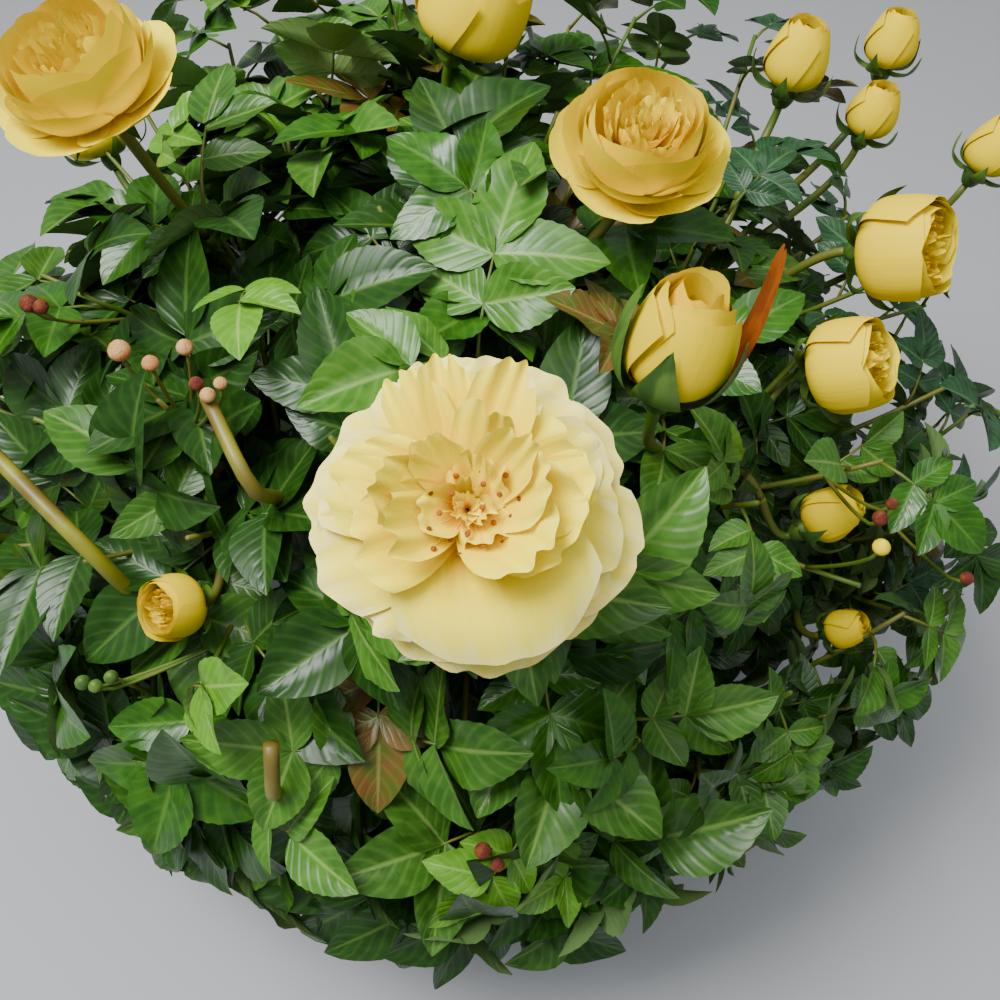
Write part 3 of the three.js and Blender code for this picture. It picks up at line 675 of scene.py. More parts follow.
@dataclass(frozen=True)
class PetalFinish:
    """Rose petal: soft cells that scatter light, deeper yellow at the root and paler at the rim.

    To the eye: a velvety matt surface with faint streaks that fan out along the petal.
    """

    name: str
    heart: str
    blade: str
    rim: str
    edge: str
    under: str
    roughness: float = 0.55
    specular: float = 0.1

    def build(self) -> bpy.types.Material:
        """Makes the material."""
        material, tree = new_material(self.name)
        place = add_node(tree, "ShaderNodeUVMap")
        split = add_node(tree, "ShaderNodeSeparateXYZ", links={0: place.outputs["UV"]})
        stretched = add_node(
            tree,
            "ShaderNodeVectorMath",
            {"operation": "MULTIPLY"},
            {0: place.outputs["UV"], 1: (22.0, 1.6, 1.0)},
        )
        streaks = add_node(
            tree, "ShaderNodeTexNoise", links={"Vector": stretched.outputs[0], "Scale": 1.0, "Detail": 3.0}
        )
        frayed = add_node(
            tree,
            "ShaderNodeMath",
            {"operation": "MULTIPLY_ADD"},
            {0: streaks.outputs["Fac"], 1: -0.34, 2: split.outputs["Y"]},
        )
        ramp = add_node(tree, "ShaderNodeValToRGB", links={"Fac": frayed.outputs[0]})
        stops = ramp.color_ramp.elements
        stops[0].color, stops[1].color = linear(self.heart), linear(self.edge)
        stops[0].position, stops[1].position = 0.06, 0.86
        for position, colour in ((0.3, self.blade), (0.66, self.rim)):
            stop = stops.new(position)
            stop.color = linear(colour)
        bump = add_node(
            tree,
            "ShaderNodeBump",
            links={"Height": streaks.outputs["Fac"], "Strength": 0.35, "Distance": 0.5 * MM},
        )
        back = add_node(tree, "ShaderNodeNewGeometry")
        sided = add_node(
            tree,
            "ShaderNodeMix",
            {"data_type": "RGBA"},
            {"Factor": back.outputs["Backfacing"], "A": ramp.outputs["Color"], "B": linear(self.under)},
        )
        shader = add_node(
            tree,
            "ShaderNodeBsdfPrincipled",
            links={
                "Base Color": sided.outputs["Result"],
                "Roughness": self.roughness,
                "Specular IOR Level": self.specular,
                "Normal": bump.outputs["Normal"],
            },
        )
        add_node(tree, "ShaderNodeOutputMaterial", links={"Surface": shader.outputs["BSDF"]})
        return material


@dataclass(frozen=True)
class SkinFinish:
    """Living skin of canes, twigs, sepals and hips: smooth wax, or bark where it is old.

    To the eye: a soft sheen with blotches of a second colour, and grain where there is bark.
    """

    name: str
    colour: str
    blotch: str
    roughness: float = 0.5
    blotch_mm: float = 25.0
    grain_mm: float = 2.0
    relief_mm: float = 0.1

    def build(self) -> bpy.types.Material:
        """Makes the material."""
        material, tree = new_material(self.name)
        place = add_node(tree, "ShaderNodeTexCoord")
        squeezed = add_node(
            tree,
            "ShaderNodeVectorMath",
            {"operation": "MULTIPLY"},
            {0: place.outputs["Object"], 1: (1.0, 1.0, 0.3)},
        )
        blotches = add_node(
            tree,
            "ShaderNodeTexNoise",
            links={"Vector": squeezed.outputs[0], "Scale": 1 / (self.blotch_mm * MM), "Detail": 4.0},
        )
        grain = add_node(
            tree,
            "ShaderNodeTexNoise",
            links={"Vector": squeezed.outputs[0], "Scale": 1 / (self.grain_mm * MM), "Detail": 4.0},
        )
        spread = add_node(
            tree,
            "ShaderNodeMapRange",
            {"interpolation_type": "SMOOTHSTEP"},
            {"Value": blotches.outputs["Fac"], "From Min": 0.4, "From Max": 0.62},
        )
        mixed = add_node(
            tree,
            "ShaderNodeMix",
            {"data_type": "RGBA"},
            {"Factor": spread.outputs[0], "A": linear(self.colour), "B": linear(self.blotch)},
        )
        bump = add_node(
            tree,
            "ShaderNodeBump",
            links={"Height": grain.outputs["Fac"], "Strength": 0.6, "Distance": self.relief_mm * MM},
        )
        shader = add_node(
            tree,
            "ShaderNodeBsdfPrincipled",
            links={
                "Base Color": mixed.outputs["Result"],
                "Roughness": self.roughness,
                "Normal": bump.outputs["Normal"],
            },
        )
        add_node(tree, "ShaderNodeOutputMaterial", links={"Surface": shader.outputs["BSDF"]})
        return material


LEAF_TONES = (
    LeafFinish("leaf_cuticle_mid_green", "#2c5614", "#3e6a1e", "#7fa04c", "#6c8c4c"),
    LeafFinish("leaf_cuticle_dark_green", "#1a3a0c", "#244a12", "#54782f", "#5f7c46"),
    LeafFinish("leaf_cuticle_blue_green", "#1e4020", "#2c5232", "#5c8054", "#66805c"),
    LeafFinish("leaf_cuticle_young_green", "#4c8416", "#62982a", "#98b85c", "#86a458"),
    LeafFinish("leaf_cuticle_bronze_green", "#4c5a18", "#6c4a20", "#8c8a44", "#7a6a40"),
    LeafFinish("leaf_cuticle_light_green", "#386818", "#4c7c26", "#8cac58", "#7a9c54"),
    LeafFinish("leaf_cuticle_wet_green", "#24500c", "#356612", "#5c8430", "#5c7c40", 0.3, coat=0.12),
)
# The place of each green in LEAF_TONES.
MID, DARK, BLUE, YOUNG, BRONZE, LIGHT, WET = range(7)
PALE_PETAL = PetalFinish("petal_velvet_cream_yellow", "#ecb400", "#ffe410", "#ffee50", "#fff498", "#ffe650")
RICH_PETAL = PetalFinish("petal_velvet_soft_yellow", "#e0a000", "#f8d400", "#ffe808", "#fff048", "#fcdc00")
LEMON_PETAL = PetalFinish("petal_velvet_lemon_yellow", "#ecb400", "#f8e400", "#fcec00", "#fff238", "#f4d400")
GOLD_PETAL = PetalFinish("petal_velvet_golden_yellow", "#e0a000", "#f4d000", "#f8dc00", "#fce828", "#f0c400")
TWIG_SKIN = SkinFinish("twig_waxy_green_skin", "#4c6a16", "#6a6c20")
CANE_SKIN = SkinFinish("cane_waxy_olive_skin", "#8c8c24", "#6c5c20", 0.45, 40.0, 3.0, 0.2)
OLD_BARK = SkinFinish("stem_furrowed_brown_bark", "#5e4c34", "#7c7258", 0.85, 14.0, 1.6, 0.9)
SEPAL_SKIN = SkinFinish("sepal_downy_green_skin", "#35561a", "#587a28", 0.5, 9.0, 1.0, 0.1)
ANTHER = SkinFinish("anther_dusty_brown", "#a85a10", "#6e3808", 0.8, 3.0, 0.6, 0.1)
TIP_SKIN = SkinFinish("sepal_scorched_orange_tip", "#a05010", "#7a3a10", 0.5, 6.0, 1.0, 0.1)
SPENT_SKIN = SkinFinish("spent_bud_dry_peach", "#cc8848", "#d8a468", 0.7, 5.0, 0.8, 1.0)
WITHERED_SKIN = SkinFinish("withered_petal_red_brown", "#5e1c0c", "#7c3c10", 0.8, 4.0, 0.8, 1.2)
PRICKLE = SkinFinish("prickle_horn_brown", "#8a4a34", "#a8653f", 0.4, 6.0, 1.0, 0.05)


# Flowers


@dataclass(frozen=True)
class PetalRing:
    """A ring of petals: each runs from its root by way of its belly to its tip.

    Places are (distance from the axis, height); the rest are sizes in mm.
    """

    count: int
    root: tuple[float, float]
    belly: tuple[float, float]
    tip: tuple[float, float]
    half_width: float
    curl: float = 0.0
    ruffle: float = 0.0
    cup: float = 0.0
    notch: float = 0.0
    spiral: float = 2.0
    jitter: float = 1.0
    square: float = 0.2
    shoulder: float = 0.74
    point: float = 0.0
    bearing: float | None = None
    finish: int = 0

    def sheet(self, azimuth: float, random: np.random.Generator, rows: int, columns: int) -> np.ndarray:
        """One petal of the ring.

        Args:
            azimuth: its bearing about the flower's axis.
            random: draws its own small differences.
            rows: points along it.
            columns: points across it.

        Returns:
            Points of shape (rows, columns, 3) in the flower's frame.
        """
        v = np.linspace(0, 1, rows)[:, None]
        u = np.linspace(-1, 1, columns)[None, :]
        off = random.normal(0, 1, 8) * self.jitter
        notch_at = random.uniform(-0.5, 0.5)
        rim = 1 - self.square * np.abs(u) ** 2.6
        rim = rim - self.notch * np.exp(-(((u - notch_at) / 0.13) ** 2))
        rim = rim + 0.012 * self.ruffle / 3 * np.sin(11 * u + off[0] * 3) + 0.01 * np.sin(5 * u + off[1] * 3)
        along = v * rim
        root, belly, tip = np.array(self.root), np.array(self.belly), np.array(self.tip)
        tip = tip + vec(0.03 * tip[0] * off[2], 1.2 * off[3])
        control = 2 * belly - (root + tip) / 2
        place = (1 - along)[..., None] ** 2 * root + (2 * along * (1 - along))[..., None] * control
        place = place + (along**2)[..., None] * tip
        heading = 2 * (1 - along)[..., None] * (control - root) + 2 * along[..., None] * (tip - control)
        heading = unit(heading)
        outward = np.stack([heading[..., 1], -heading[..., 0]], -1)
        swing = np.sin(math.pi * (1.6 + 0.25 * off[4]) * u + off[5] * 2) * (0.35 + 0.65 * np.abs(u))
        swing = swing + 0.45 * np.sin(math.pi * 3.7 * u + off[6] * 3) * along
        push = self.curl * smooth_step(along, 0.62, 1.1) ** 1.3
        push = push + self.ruffle * 0.55 * along**2 * (swing + 0.7 * off[1] * u**2)
        push = push - self.cup * u**2 * np.sin(math.pi * np.clip(along * 0.8, 0, 1))
        place = place + outward * push[..., None]
        radius = np.maximum(place[..., 0], 0.4)
        breadth = 0.16 + 0.84 * np.sin(math.pi * np.minimum(1, 0.06 + along * self.shoulder))
        breadth = self.half_width * breadth * (1 - self.point * along**1.6)
        wrap = np.clip(u * breadth / np.maximum(radius, 3.0), -1.9, 1.9)
        angle = azimuth + 0.1 * off[7] + wrap
        distance = radius + self.spiral * u * along
        return np.stack([distance * np.cos(angle), distance * np.sin(angle), place[..., 1]], -1)


def layer(
    root: tuple[float, float],
    heights: tuple[float, float],
    petals: tuple[tuple[float, float, float], ...],
    **shape: float,
) -> tuple[PetalRing, ...]:
    """Petals of one layer that each have their own bearing, reach and half width.

    Args:
        root: where they spring from.
        heights: of the belly and the tip.
        petals: the bearing in degrees, the reach and the half width of each.
        **shape: what they share.

    Returns:
        One ring of one petal for each.
    """
    return tuple(
        PetalRing(1, root, (0.56 * reach, heights[0]), (reach, heights[1]), half, bearing=bearing, **shape)
        for bearing, reach, half in petals
    )


def heart(radius: float, height: float, half_width: float, finish: int) -> tuple[PetalRing, ...]:
    """The crumpled small petals that fill a cup, in rings that shrink to the middle.

    Args:
        radius: the cup's radius inside.
        height: how high they reach.
        half_width: half the width of the outermost.
        finish: the number of their material.

    Returns:
        The rings, outermost first.
    """
    return tuple(
        PetalRing(
            count, (0.3 * share * radius, 5), (share * radius * 0.95, height * 0.6),
            (share * radius, height * (1.03 - 0.06 * share)), half_width * (0.5 + 0.5 * share),
            0.6, 2.2, 0, 0.1, 1.2, 1.9, 0.25, 0.66, finish=finish,
        )
        for count, share in ((9, 0.95), (8, 0.72), (6, 0.5), (5, 0.3), (3, 0.12))
    )


@dataclass(frozen=True)
class FlowerForm:
    """How far a flower has opened: its rings of petals, its sepals and its size."""

    radius: float
    stalk: float
    rings: tuple[PetalRing, ...]
    sepals: tuple[PetalRing, ...]
    stamens: int = 0


def sepal_ring(belly: tuple[float, float], tip: tuple[float, float], half_width: float) -> tuple[PetalRing]:
    """Five pointed sepals.

    Args:
        belly: the distance from the axis and the height where they bulge.
        tip: the same where they end.
        half_width: half the width of each.

    Returns:
        One ring.
    """
    return (
        PetalRing(5, (4.6, -2), belly, tip, half_width, 0.5, 0.5, 0.6, 0, 0, 0.9, 0.05, 0.6, 1.0, finish=1),
    )


class Form(Enum):
    """The stages of opening."""

    OPEN = FlowerForm(
        47,
        2.9,
        (
            *layer(
                (3, 0), (-5, -10),
                ((-86, 49, 26), (-126, 47, 22), (-157, 48, 21), (170, 50, 22), (135, 47, 19), (95, 47, 18),
                 (58, 47, 19), (22, 48, 21), (-14, 51, 21), (-48, 47, 21)),
                curl=3.0, ruffle=2.2, cup=2, notch=0.05, jitter=0.9, square=0.13, shoulder=0.62,
            ),
            *layer(
                (3, 2), (2, 0),
                ((-133, 44, 19), (-163, 45, 18), (164, 44, 17), (122, 44, 13), (98, 46, 12),
                 (73, 44, 13), (42, 43, 19), (6, 45, 22), (-26, 44, 19)),
                curl=2.4, ruffle=2.8, cup=2, notch=0.08, jitter=0.9, square=0.14, shoulder=0.62,
            ),
            *layer(
                (3, 3), (8, 6), ((-74, 45, 34),),
                curl=4.0, ruffle=2.4, cup=2, notch=0.05, jitter=0.5, square=0.16, shoulder=0.6,
            ),
            *layer(
                (3, 3), (11, 16),
                ((-150, 35, 15), (178, 35, 15), (146, 33, 13), (112, 38, 9), (90, 39, 8), (66, 37, 10),
                 (30, 35, 18), (-8, 35, 18), (-38, 32, 18)),
                curl=1.4, ruffle=4.2, cup=1, notch=0.1, jitter=1.7, square=0.16, shoulder=0.62, finish=1,
            ),
            *layer(
                (3, 4), (15, 25),
                ((-165, 23, 12), (150, 24, 11), (118, 21, 8), (80, 26, 9), (44, 24, 9),
                 (2, 24, 13), (-46, 25, 16)),
                curl=-2.0, ruffle=5.0, notch=0.1, jitter=2.0, square=0.2, shoulder=0.62, finish=1,
            ),
            *layer(
                (2, 5), (13, 21),
                ((200, 15, 9), (95, 15, 7), (20, 14, 8), (-70, 14, 9), (140, 9, 5), (-20, 8, 5)),
                curl=-3.0, ruffle=5.0, notch=0.12, jitter=2.4, square=0.25, shoulder=0.62, finish=1,
            ),
            PetalRing(5, (0.4, 6), (2, 10), (4, 15), 3.6, 0, 1.5, 0, 0.1, 1.0, 1.6, 0.25, 0.62, finish=1),
        ),
        sepal_ring((15, -9), (27, -19), 6),
        22,
    )
    CUPPED = FlowerForm(
        37,
        2.8,
        (
            PetalRing(5, (4, 0), (27, -1), (38, 10), 27, 5, 1.0, 2, 0.02, 2.4, 0.8, 0.1, 0.6),
            PetalRing(4, (4, 1), (26, 3), (32, 20), 29, 4, 0.8, 2, 0.02, 2.4, 0.7, 0.1, 0.58),
            PetalRing(4, (3, 2), (25, 6), (26, 28), 28, 3, 0.7, 1, 0.02, 2.4, 0.6, 0.1, 0.56),
            PetalRing(4, (3, 3), (23, 9), (21.5, 32), 25, 2, 0.6, 0, 0.02, 2.0, 0.6, 0.1, 0.54, finish=1),
            *heart(18.5, 30, 9, 1),
        ),
        sepal_ring((15, -6), (28, -10), 6),
    )
    HALF_OPEN = FlowerForm(
        23,
        2.2,
        (
            PetalRing(4, (4, 0), (22.5, 8), (18, 33), 26, 3.4, 0.7, 0, 0.02, 2.4, 0.7, 0.08, 0.52),
            PetalRing(4, (4, 1), (21, 10), (16, 34), 24, 2, 0.6, 0, 0.02, 2.2, 0.7, 0.08, 0.52),
            PetalRing(3, (3, 2), (19, 12), (14.5, 33), 20, 1.4, 0.6, 0, 0.02, 2.0, 0.8, 0.1, 0.52, finish=1),
            *heart(13, 32, 7, 1),
        ),
        sepal_ring((24, 0), (31, 12), 7),
    )
    BUD = FlowerForm(
        13,
        1.9,
        (
            PetalRing(4, (4, 0), (14.6, 10), (7.5, 31), 18, 1.2, 0.3, 0, 0.01, 1.6, 0.4, 0.1, 0.55),
            PetalRing(3, (3, 1), (12.4, 12), (5, 32), 15, 0.6, 0.3, 0, 0.01, 1.4, 0.4, 0.1, 0.55),
            PetalRing(3, (3, 2), (9, 13), (2, 31), 10, 0, 0.5, 0, 0, 1.0, 0.6, 0.1, 0.55, finish=1),
        ),
        sepal_ring((17.5, 1), (20, 15), 8),
    )
    OPENING = FlowerForm(
        13,
        2.6,
        (
            PetalRing(3, (4, 0), (15.5, 10), (10, 33), 21, 1.6, 0.5, 0, 0.02, 2.2, 0.5, 0.1, 0.52),
            PetalRing(3, (4, 1), (13.6, 12), (8, 36), 17, 1.4, 0.7, 0, 0.03, 2.0, 0.6, 0.12, 0.52),
            PetalRing(3, (3, 2), (10.6, 13), (5, 36), 12, 1, 0.9, 0, 0.04, 1.6, 0.8, 0.14, 0.52, finish=1),
            PetalRing(2, (3, 3), (7, 13), (2, 33), 8, 0.5, 0.8, 0, 0.04, 1.2, 0.8, 0.14, 0.52, finish=1),
        ),
        (
            PetalRing(1, (5, -2), (19, 8), (15, 36), 17, 1, 0.6, 0, 0, 0, 0.4, 0.05, 0.56, 0.96, 178, 1),
            PetalRing(1, (5, -2), (17.5, 6), (16, 24), 13, 1, 0.6, 0, 0, 0, 0.4, 0.05, 0.56, 0.96, -112, 1),
            PetalRing(1, (5, -2), (17.5, 7), (18, 28), 13, 1, 0.6, 0, 0, 0, 0.4, 0.05, 0.56, 0.96, -38, 1),
            PetalRing(1, (5, -2), (17.5, 7), (16, 32), 12, 1, 0.6, 0, 0, 0, 0.4, 0.05, 0.56, 0.96, 96, 1),
            PetalRing(1, (5, -2), (20, 10), (20, 52), 8, 0, 0.8, 0, 0, 0, 0.3, 0.05, 0.5, 0.7, 12, 2),
        ),
    )


HIP_RADIUS = 6.0
HIP_HEIGHT = 10.0
SHOOT_RADIUS = 2.4


@dataclass
class Flower:
    """One flower: its shoot and stalk, hip, sepals, petals and stamens."""

    name: str
    mass: str
    form: Form
    at: tuple[float, float, float]
    facing: tuple[float, float, float]
    scale: float = 1.0
    tones: tuple[PetalFinish, PetalFinish] = (LEMON_PETAL, GOLD_PETAL)

    def grow(self, skeleton: Skeleton, order: int) -> None:
        """Works out the shoot and the stalk, as the part's source does.

        Args:
            skeleton: the limbs it grows on.
            order: its number among the flowers.
        """
        self.order = order
        self.centre = vec(*self.at)
        self.axis = unit(vec(*self.facing))
        stem = skeleton.stems[self.mass]
        foot = self.centre - self.axis * HIP_HEIGHT * self.scale
        root = stem.at(0.6 + 0.1 * (order % 4))
        tip = root + (foot - root) * 0.45
        swell = np.linalg.norm(tip - root) * 0.18
        elbow = root + (tip - root) * 0.5 + stem.tangent(0.8) * swell
        self.shoot = Course.bezier(root, elbow, tip)
        onward = self.shoot.tangent(1)
        start = tip + onward * CLEARANCE
        reach = float(np.linalg.norm(foot - start))
        self.stalk = Course.bezier(
            start,
            start + onward * reach * 0.35,
            foot - self.axis * reach * 0.35,
            foot + self.axis * self.scale,
        )

    @property
    def radius(self) -> float:
        """The head's radius."""
        return self.form.value.radius * self.scale

    def keep_clear(self, eye: np.ndarray) -> list[tuple[np.ndarray, np.ndarray, float]]:
        """The rods of space that leaves stay out of: the head and the view of it.

        Args:
            eye: the camera's place.

        Returns:
            Each rod's two ends and radius.
        """
        middle = self.centre + self.axis * self.radius * 0.45
        seen = middle + unit(eye - middle) * 230
        return [
            (self.centre, self.centre + self.axis * self.radius, self.radius * 0.8),
            (middle, seen, self.radius * 0.9 + 7),
        ]

    def place(self, points: np.ndarray) -> np.ndarray:
        """Moves points from the flower's own frame to the row's."""
        return points * self.scale @ turn_from_up(self.axis).T + self.centre

    def build(self, finishes: dict[str, bpy.types.Material]) -> list[bpy.types.Object]:
        """Makes the petals as one piece and the green parts as another.

        Args:
            finishes: the built materials by name.

        Returns:
            The pieces, each already riding and replacing the CAD node.
        """
        form = self.form.value
        random = np.random.default_rng(SEED + 500 + self.order)
        fine = self.form is Form.OPEN
        petals = MeshPile()
        self.add_rings(petals, form.rings, random, (26, 25) if fine else (15, 15))
        pieces = [petals.build("petals_" + self.name, [finishes[tone.name] for tone in self.tones])]
        green = MeshPile()
        self.add_rings(green, form.sepals, random, (16, 9))
        green.add(self.hip(), 1, wrap=True)
        radii = np.linspace(SHOOT_RADIUS * 0.95, form.stalk, 14)
        green.add(tube(self.stalk, radii, 12), 0, wrap=True)
        skins = [finishes[skin.name] for skin in (TWIG_SKIN, SEPAL_SKIN, TIP_SKIN)]
        pieces.append(green.build("calyx_" + self.name, skins))
        if form.stamens:
            pieces.append(self.stamens(form.stamens, random, finishes))
        for piece in pieces:
            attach(piece, "root")
            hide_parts(self.name)
        return pieces

    def add_rings(
        self, pile: MeshPile, rings: tuple[PetalRing, ...], random: np.random.Generator, grid: tuple[int, int]
    ) -> None:
        """Adds every petal or sepal of the rings.

        Args:
            pile: what they are gathered in.
            rings: the rings, lowest first.
            random: draws the small differences.
            grid: points along and across each.
        """
        for number, ring in enumerate(rings):
            start = number * GOLDEN_ANGLE + 0.4 if ring.bearing is None else math.radians(ring.bearing)
            for k in range(ring.count):
                azimuth = start + 2 * math.pi * k / ring.count
                pile.add(self.place(ring.sheet(azimuth, random, *grid)), ring.finish)

    def hip(self) -> np.ndarray:
        """The hip under the petals, as a wrapped sheet.

        Returns:
            Points of shape (rings, sides, 3).
        """
        t = np.linspace(0, 1, 12)
        radii = HIP_RADIUS * (0.5 + 0.55 * np.sin(math.pi * (0.08 + 0.62 * t)))
        heights = HIP_HEIGHT * (t * 1.05 - 1)
        angles = np.linspace(0, 2 * math.pi, 20, endpoint=False)
        ring = np.stack([np.cos(angles), np.sin(angles)], -1)
        body = np.concatenate(
            [radii[:, None, None] * ring[None], np.broadcast_to(heights[:, None, None], (12, 20, 1))], -1
        )
        return self.place(body)

    def stamens(
        self, count: int, random: np.random.Generator, finishes: dict[str, bpy.types.Material]
    ) -> bpy.types.Object:
        """The boss of stamens: fine filaments with small anthers.

        Args:
            count: how many there are.
            random: draws their heights and leans.
            finishes: the built materials by name.

        Returns:
            The piece.
        """
        pile = MeshPile()
        for k in range(count):
            angle = k * GOLDEN_ANGLE
            spread = 2 + 13 * math.sqrt((k + 0.5) / count)
            top = vec(spread * math.cos(angle), spread * math.sin(angle), random.uniform(12, 16))
            foot = vec(2.5 * math.cos(angle), 2.5 * math.sin(angle), 5)
            course = Course.bezier(foot, (foot + top) / 2 + vec(0, 0, 3), top)
            pile.add(self.place(tube(course, np.full(4, 0.28), 5)), 0, wrap=True)
            tip = Course(np.array([top, top + vec(*random.normal(0, 0.8, 2), 1.6)]))
            pile.add(self.place(tube(tip, np.array([0.4, 0.85, 0.85, 0.4]), 6)), 1, wrap=True)
        return pile.build("stamens_" + self.name, [finishes[GOLD_PETAL.name], finishes[ANTHER.name]])


FLOWERS = (
    Flower("bloom_front", "upper_front", Form.OPEN, (6, -181, 508),
           (0, -0.5, 0.87), 1.0, (PALE_PETAL, RICH_PETAL)),
    Flower("bloom_left", "upper_back_left", Form.CUPPED, (-151, 34, 497),
           (-0.22, -0.16, 0.96), 0.95, (LEMON_PETAL, RICH_PETAL)),
    Flower("bloom_middle", "middle", Form.CUPPED, (72, 16, 478),
           (0.04, -0.2, 0.98), 0.9, (LEMON_PETAL, RICH_PETAL)),
    Flower("bloom_back", "upper_back", Form.HALF_OPEN, (-6, 128, 462), (0.4, 0.1, 0.9), 1.08),
    Flower("bud_opening", "upper_front_right", Form.OPENING, (76, -92, 462), (0.16, 0.1, 0.98), 1.2),
    Flower("bloom_right_upper", "upper_back_right", Form.HALF_OPEN, (186, 26, 421), (0.72, -0.5, 0.5)),
    Flower("bloom_right_lower", "upper_front_right", Form.HALF_OPEN, (158, -30, 399), (0.74, -0.3, 0.6), 0.9),
    Flower("bud_back_near", "upper_back_right", Form.BUD, (160, 126, 440), (0.15, 0.1, 0.98), 1.02),
    Flower("bud_back_far", "upper_back_right", Form.BUD, (219, 160, 430), (0.1, 0.12, 0.99), 0.88),
    Flower("bud_back_low", "upper_back_right", Form.BUD, (207, 127, 412), (0.12, 0, 0.99), 0.86),
    Flower("bud_far_right", "lower_back_right", Form.BUD, (270, 116, 397), (0.3, 0.05, 0.95), 0.92),
    Flower("bud_right_middle", "upper_front_right", Form.BUD, (162, -72, 336), (0.7, 0.1, 0.7), 0.86),
    Flower("bud_right_low", "lower_right", Form.BUD, (188, -92, 266), (0.5, -0.2, 0.84), 0.68),
    Flower("bud_left_front", "upper_front_left", Form.HALF_OPEN, (-120, -124, 352), (-0.5, -0.5, 0.72), 0.58),
    Flower("bud_left_side", "lower_left", Form.BUD, (-282, 44, 372), (-0.3, 0, 0.95), 1.0),
    Flower("bloom_left_low", "lower_left", Form.HALF_OPEN, (-262, -62, 318), (-0.6, -0.3, 0.74), 0.95),
    Flower("bloom_back_left", "upper_back_left", Form.HALF_OPEN, (-214, 168, 368), (-0.35, 0.45, 0.82), 0.9),
    Flower("bud_back_right", "lower_back", Form.BUD, (112, 258, 312), (0.2, 0.35, 0.9), 1.0),
)


# What last season left

# The place of each skin in the piece of twigs.
ON_TWIG, ON_GREEN_BUD, ON_DRY_BUD, ON_WITHERED_BUD, ON_GOLDEN_BUD, ON_OLD_CANE = range(6)


@dataclass(frozen=True)
class SpentBud:
    """A small dry bud or hip on its own stalk."""

    at: tuple[float, float, float]
    radius: float
    finish: int

    def grow(self, twigs: list[Course]) -> tuple[Course, Course]:
        """The bud's own axis, and its stalk from the nearest twig.

        Args:
            twigs: the twigs it may spring from.

        Returns:
            The two centre lines.
        """
        top = vec(*self.at) + UP * self.radius
        foot = top - UP * self.radius * 2.1
        roots = np.array([twig.at(0.75) for twig in twigs])
        gaps = np.linalg.norm(roots - foot, axis=1) + 1000 * (roots[:, 2] > foot[2])
        root = roots[int(np.argmin(gaps))]
        stalk = Course.bezier(root, (root + foot) / 2 - UP * 6, foot - UP * 8, foot)
        return Course(np.array([foot, top])), stalk


SPENT_BUDS = (
    SpentBud((-140, -55, 440), 4.8, ON_DRY_BUD),
    SpentBud((-126, -62, 440), 3.6, ON_DRY_BUD),
    SpentBud((-112, -57, 444), 3.6, ON_DRY_BUD),
    SpentBud((-98, -84, 446), 3.2, ON_DRY_BUD),
    SpentBud((-103, -79, 447), 3.0, ON_WITHERED_BUD),
    SpentBud((-94, -78, 446), 2.8, ON_DRY_BUD),
    SpentBud((-190, -18, 430), 4.2, ON_WITHERED_BUD),
    SpentBud((-183, -22, 432), 3.4, ON_WITHERED_BUD),
    SpentBud((171, -109, 398), 3.4, ON_WITHERED_BUD),
    SpentBud((176, -104, 401), 2.6, ON_WITHERED_BUD),
    SpentBud((172, -118, 390), 3.8, ON_GOLDEN_BUD),
    SpentBud((224, -109, 350), 3.2, ON_WITHERED_BUD),
    SpentBud((8, -222, 324), 3.6, ON_WITHERED_BUD),
    SpentBud((14, -226, 318), 3.0, ON_WITHERED_BUD),
    SpentBud((-162, -158, 346), 3.4, ON_GREEN_BUD),
    SpentBud((-155, -161, 349), 3.0, ON_GREEN_BUD),
    SpentBud((-150, -156, 347), 3.2, ON_GREEN_BUD),
)


@dataclass(frozen=True)
class OldCane:
    """A thick old cane that shows between the leaves: the mass it springs from and its way."""

    mass: str
    way: tuple[tuple[float, float, float], ...]
    radius: float

    def course(self, skeleton: Skeleton) -> Course:
        """Its centre line, from the mass's stem."""
        return Course.through([skeleton.stems[self.mass].at(0.1), *(vec(*point) for point in self.way)])


OLD_CANES = (
    OldCane(
        "lower_front_left", ((-150, -112, 340), (-160, -112, 380), (-200, -78, 399), (-226, -54, 404)), 3.4
    ),
    OldCane("upper_front_left", ((-78, -100, 400), (-81, -113, 425), (-100, -81, 441)), 3.0),
    OldCane("lower_front_left", ((-84, -176, 300), (-77, -203, 338), (-75, -192, 362)), 3.2),
)


# Leaves


@dataclass(frozen=True)
class Blade:
    """The outline of a rose leaflet, in shares of its length and half its width."""

    rows: int
    columns: int
    teeth: bool

    def grid(self) -> tuple[np.ndarray, np.ndarray]:
        """Shares along and across, each of shape (rows, columns).

        Returns:
            Both grids.
        """
        v = np.linspace(0, 1, self.rows)[:, None]
        u = np.linspace(-1, 1, self.columns)[None, :]
        half = np.sin(math.pi * np.clip(v, 0.004, 0.996) ** 0.76) ** 0.72 * (1 - 0.08 * v)
        along = v + 0 * u
        across = u * half
        if self.teeth:
            edge = (np.abs(u) > 0.99) * (np.arange(self.rows)[:, None] % 2)
            across = across * (1 - 0.035 * edge)
            along = along - 0.006 * edge
        return along, across


@dataclass(frozen=True)
class Leaflet:
    """One leaflet: its foot and axes, its sizes in mm, its bends as shares, its green and its mass."""

    root: np.ndarray
    forward: np.ndarray
    across: np.ndarray
    normal: np.ndarray
    length: float
    width: float
    fold: float
    droop: float
    wave: float
    phase: float
    tone: int
    mass: int
    fine: bool


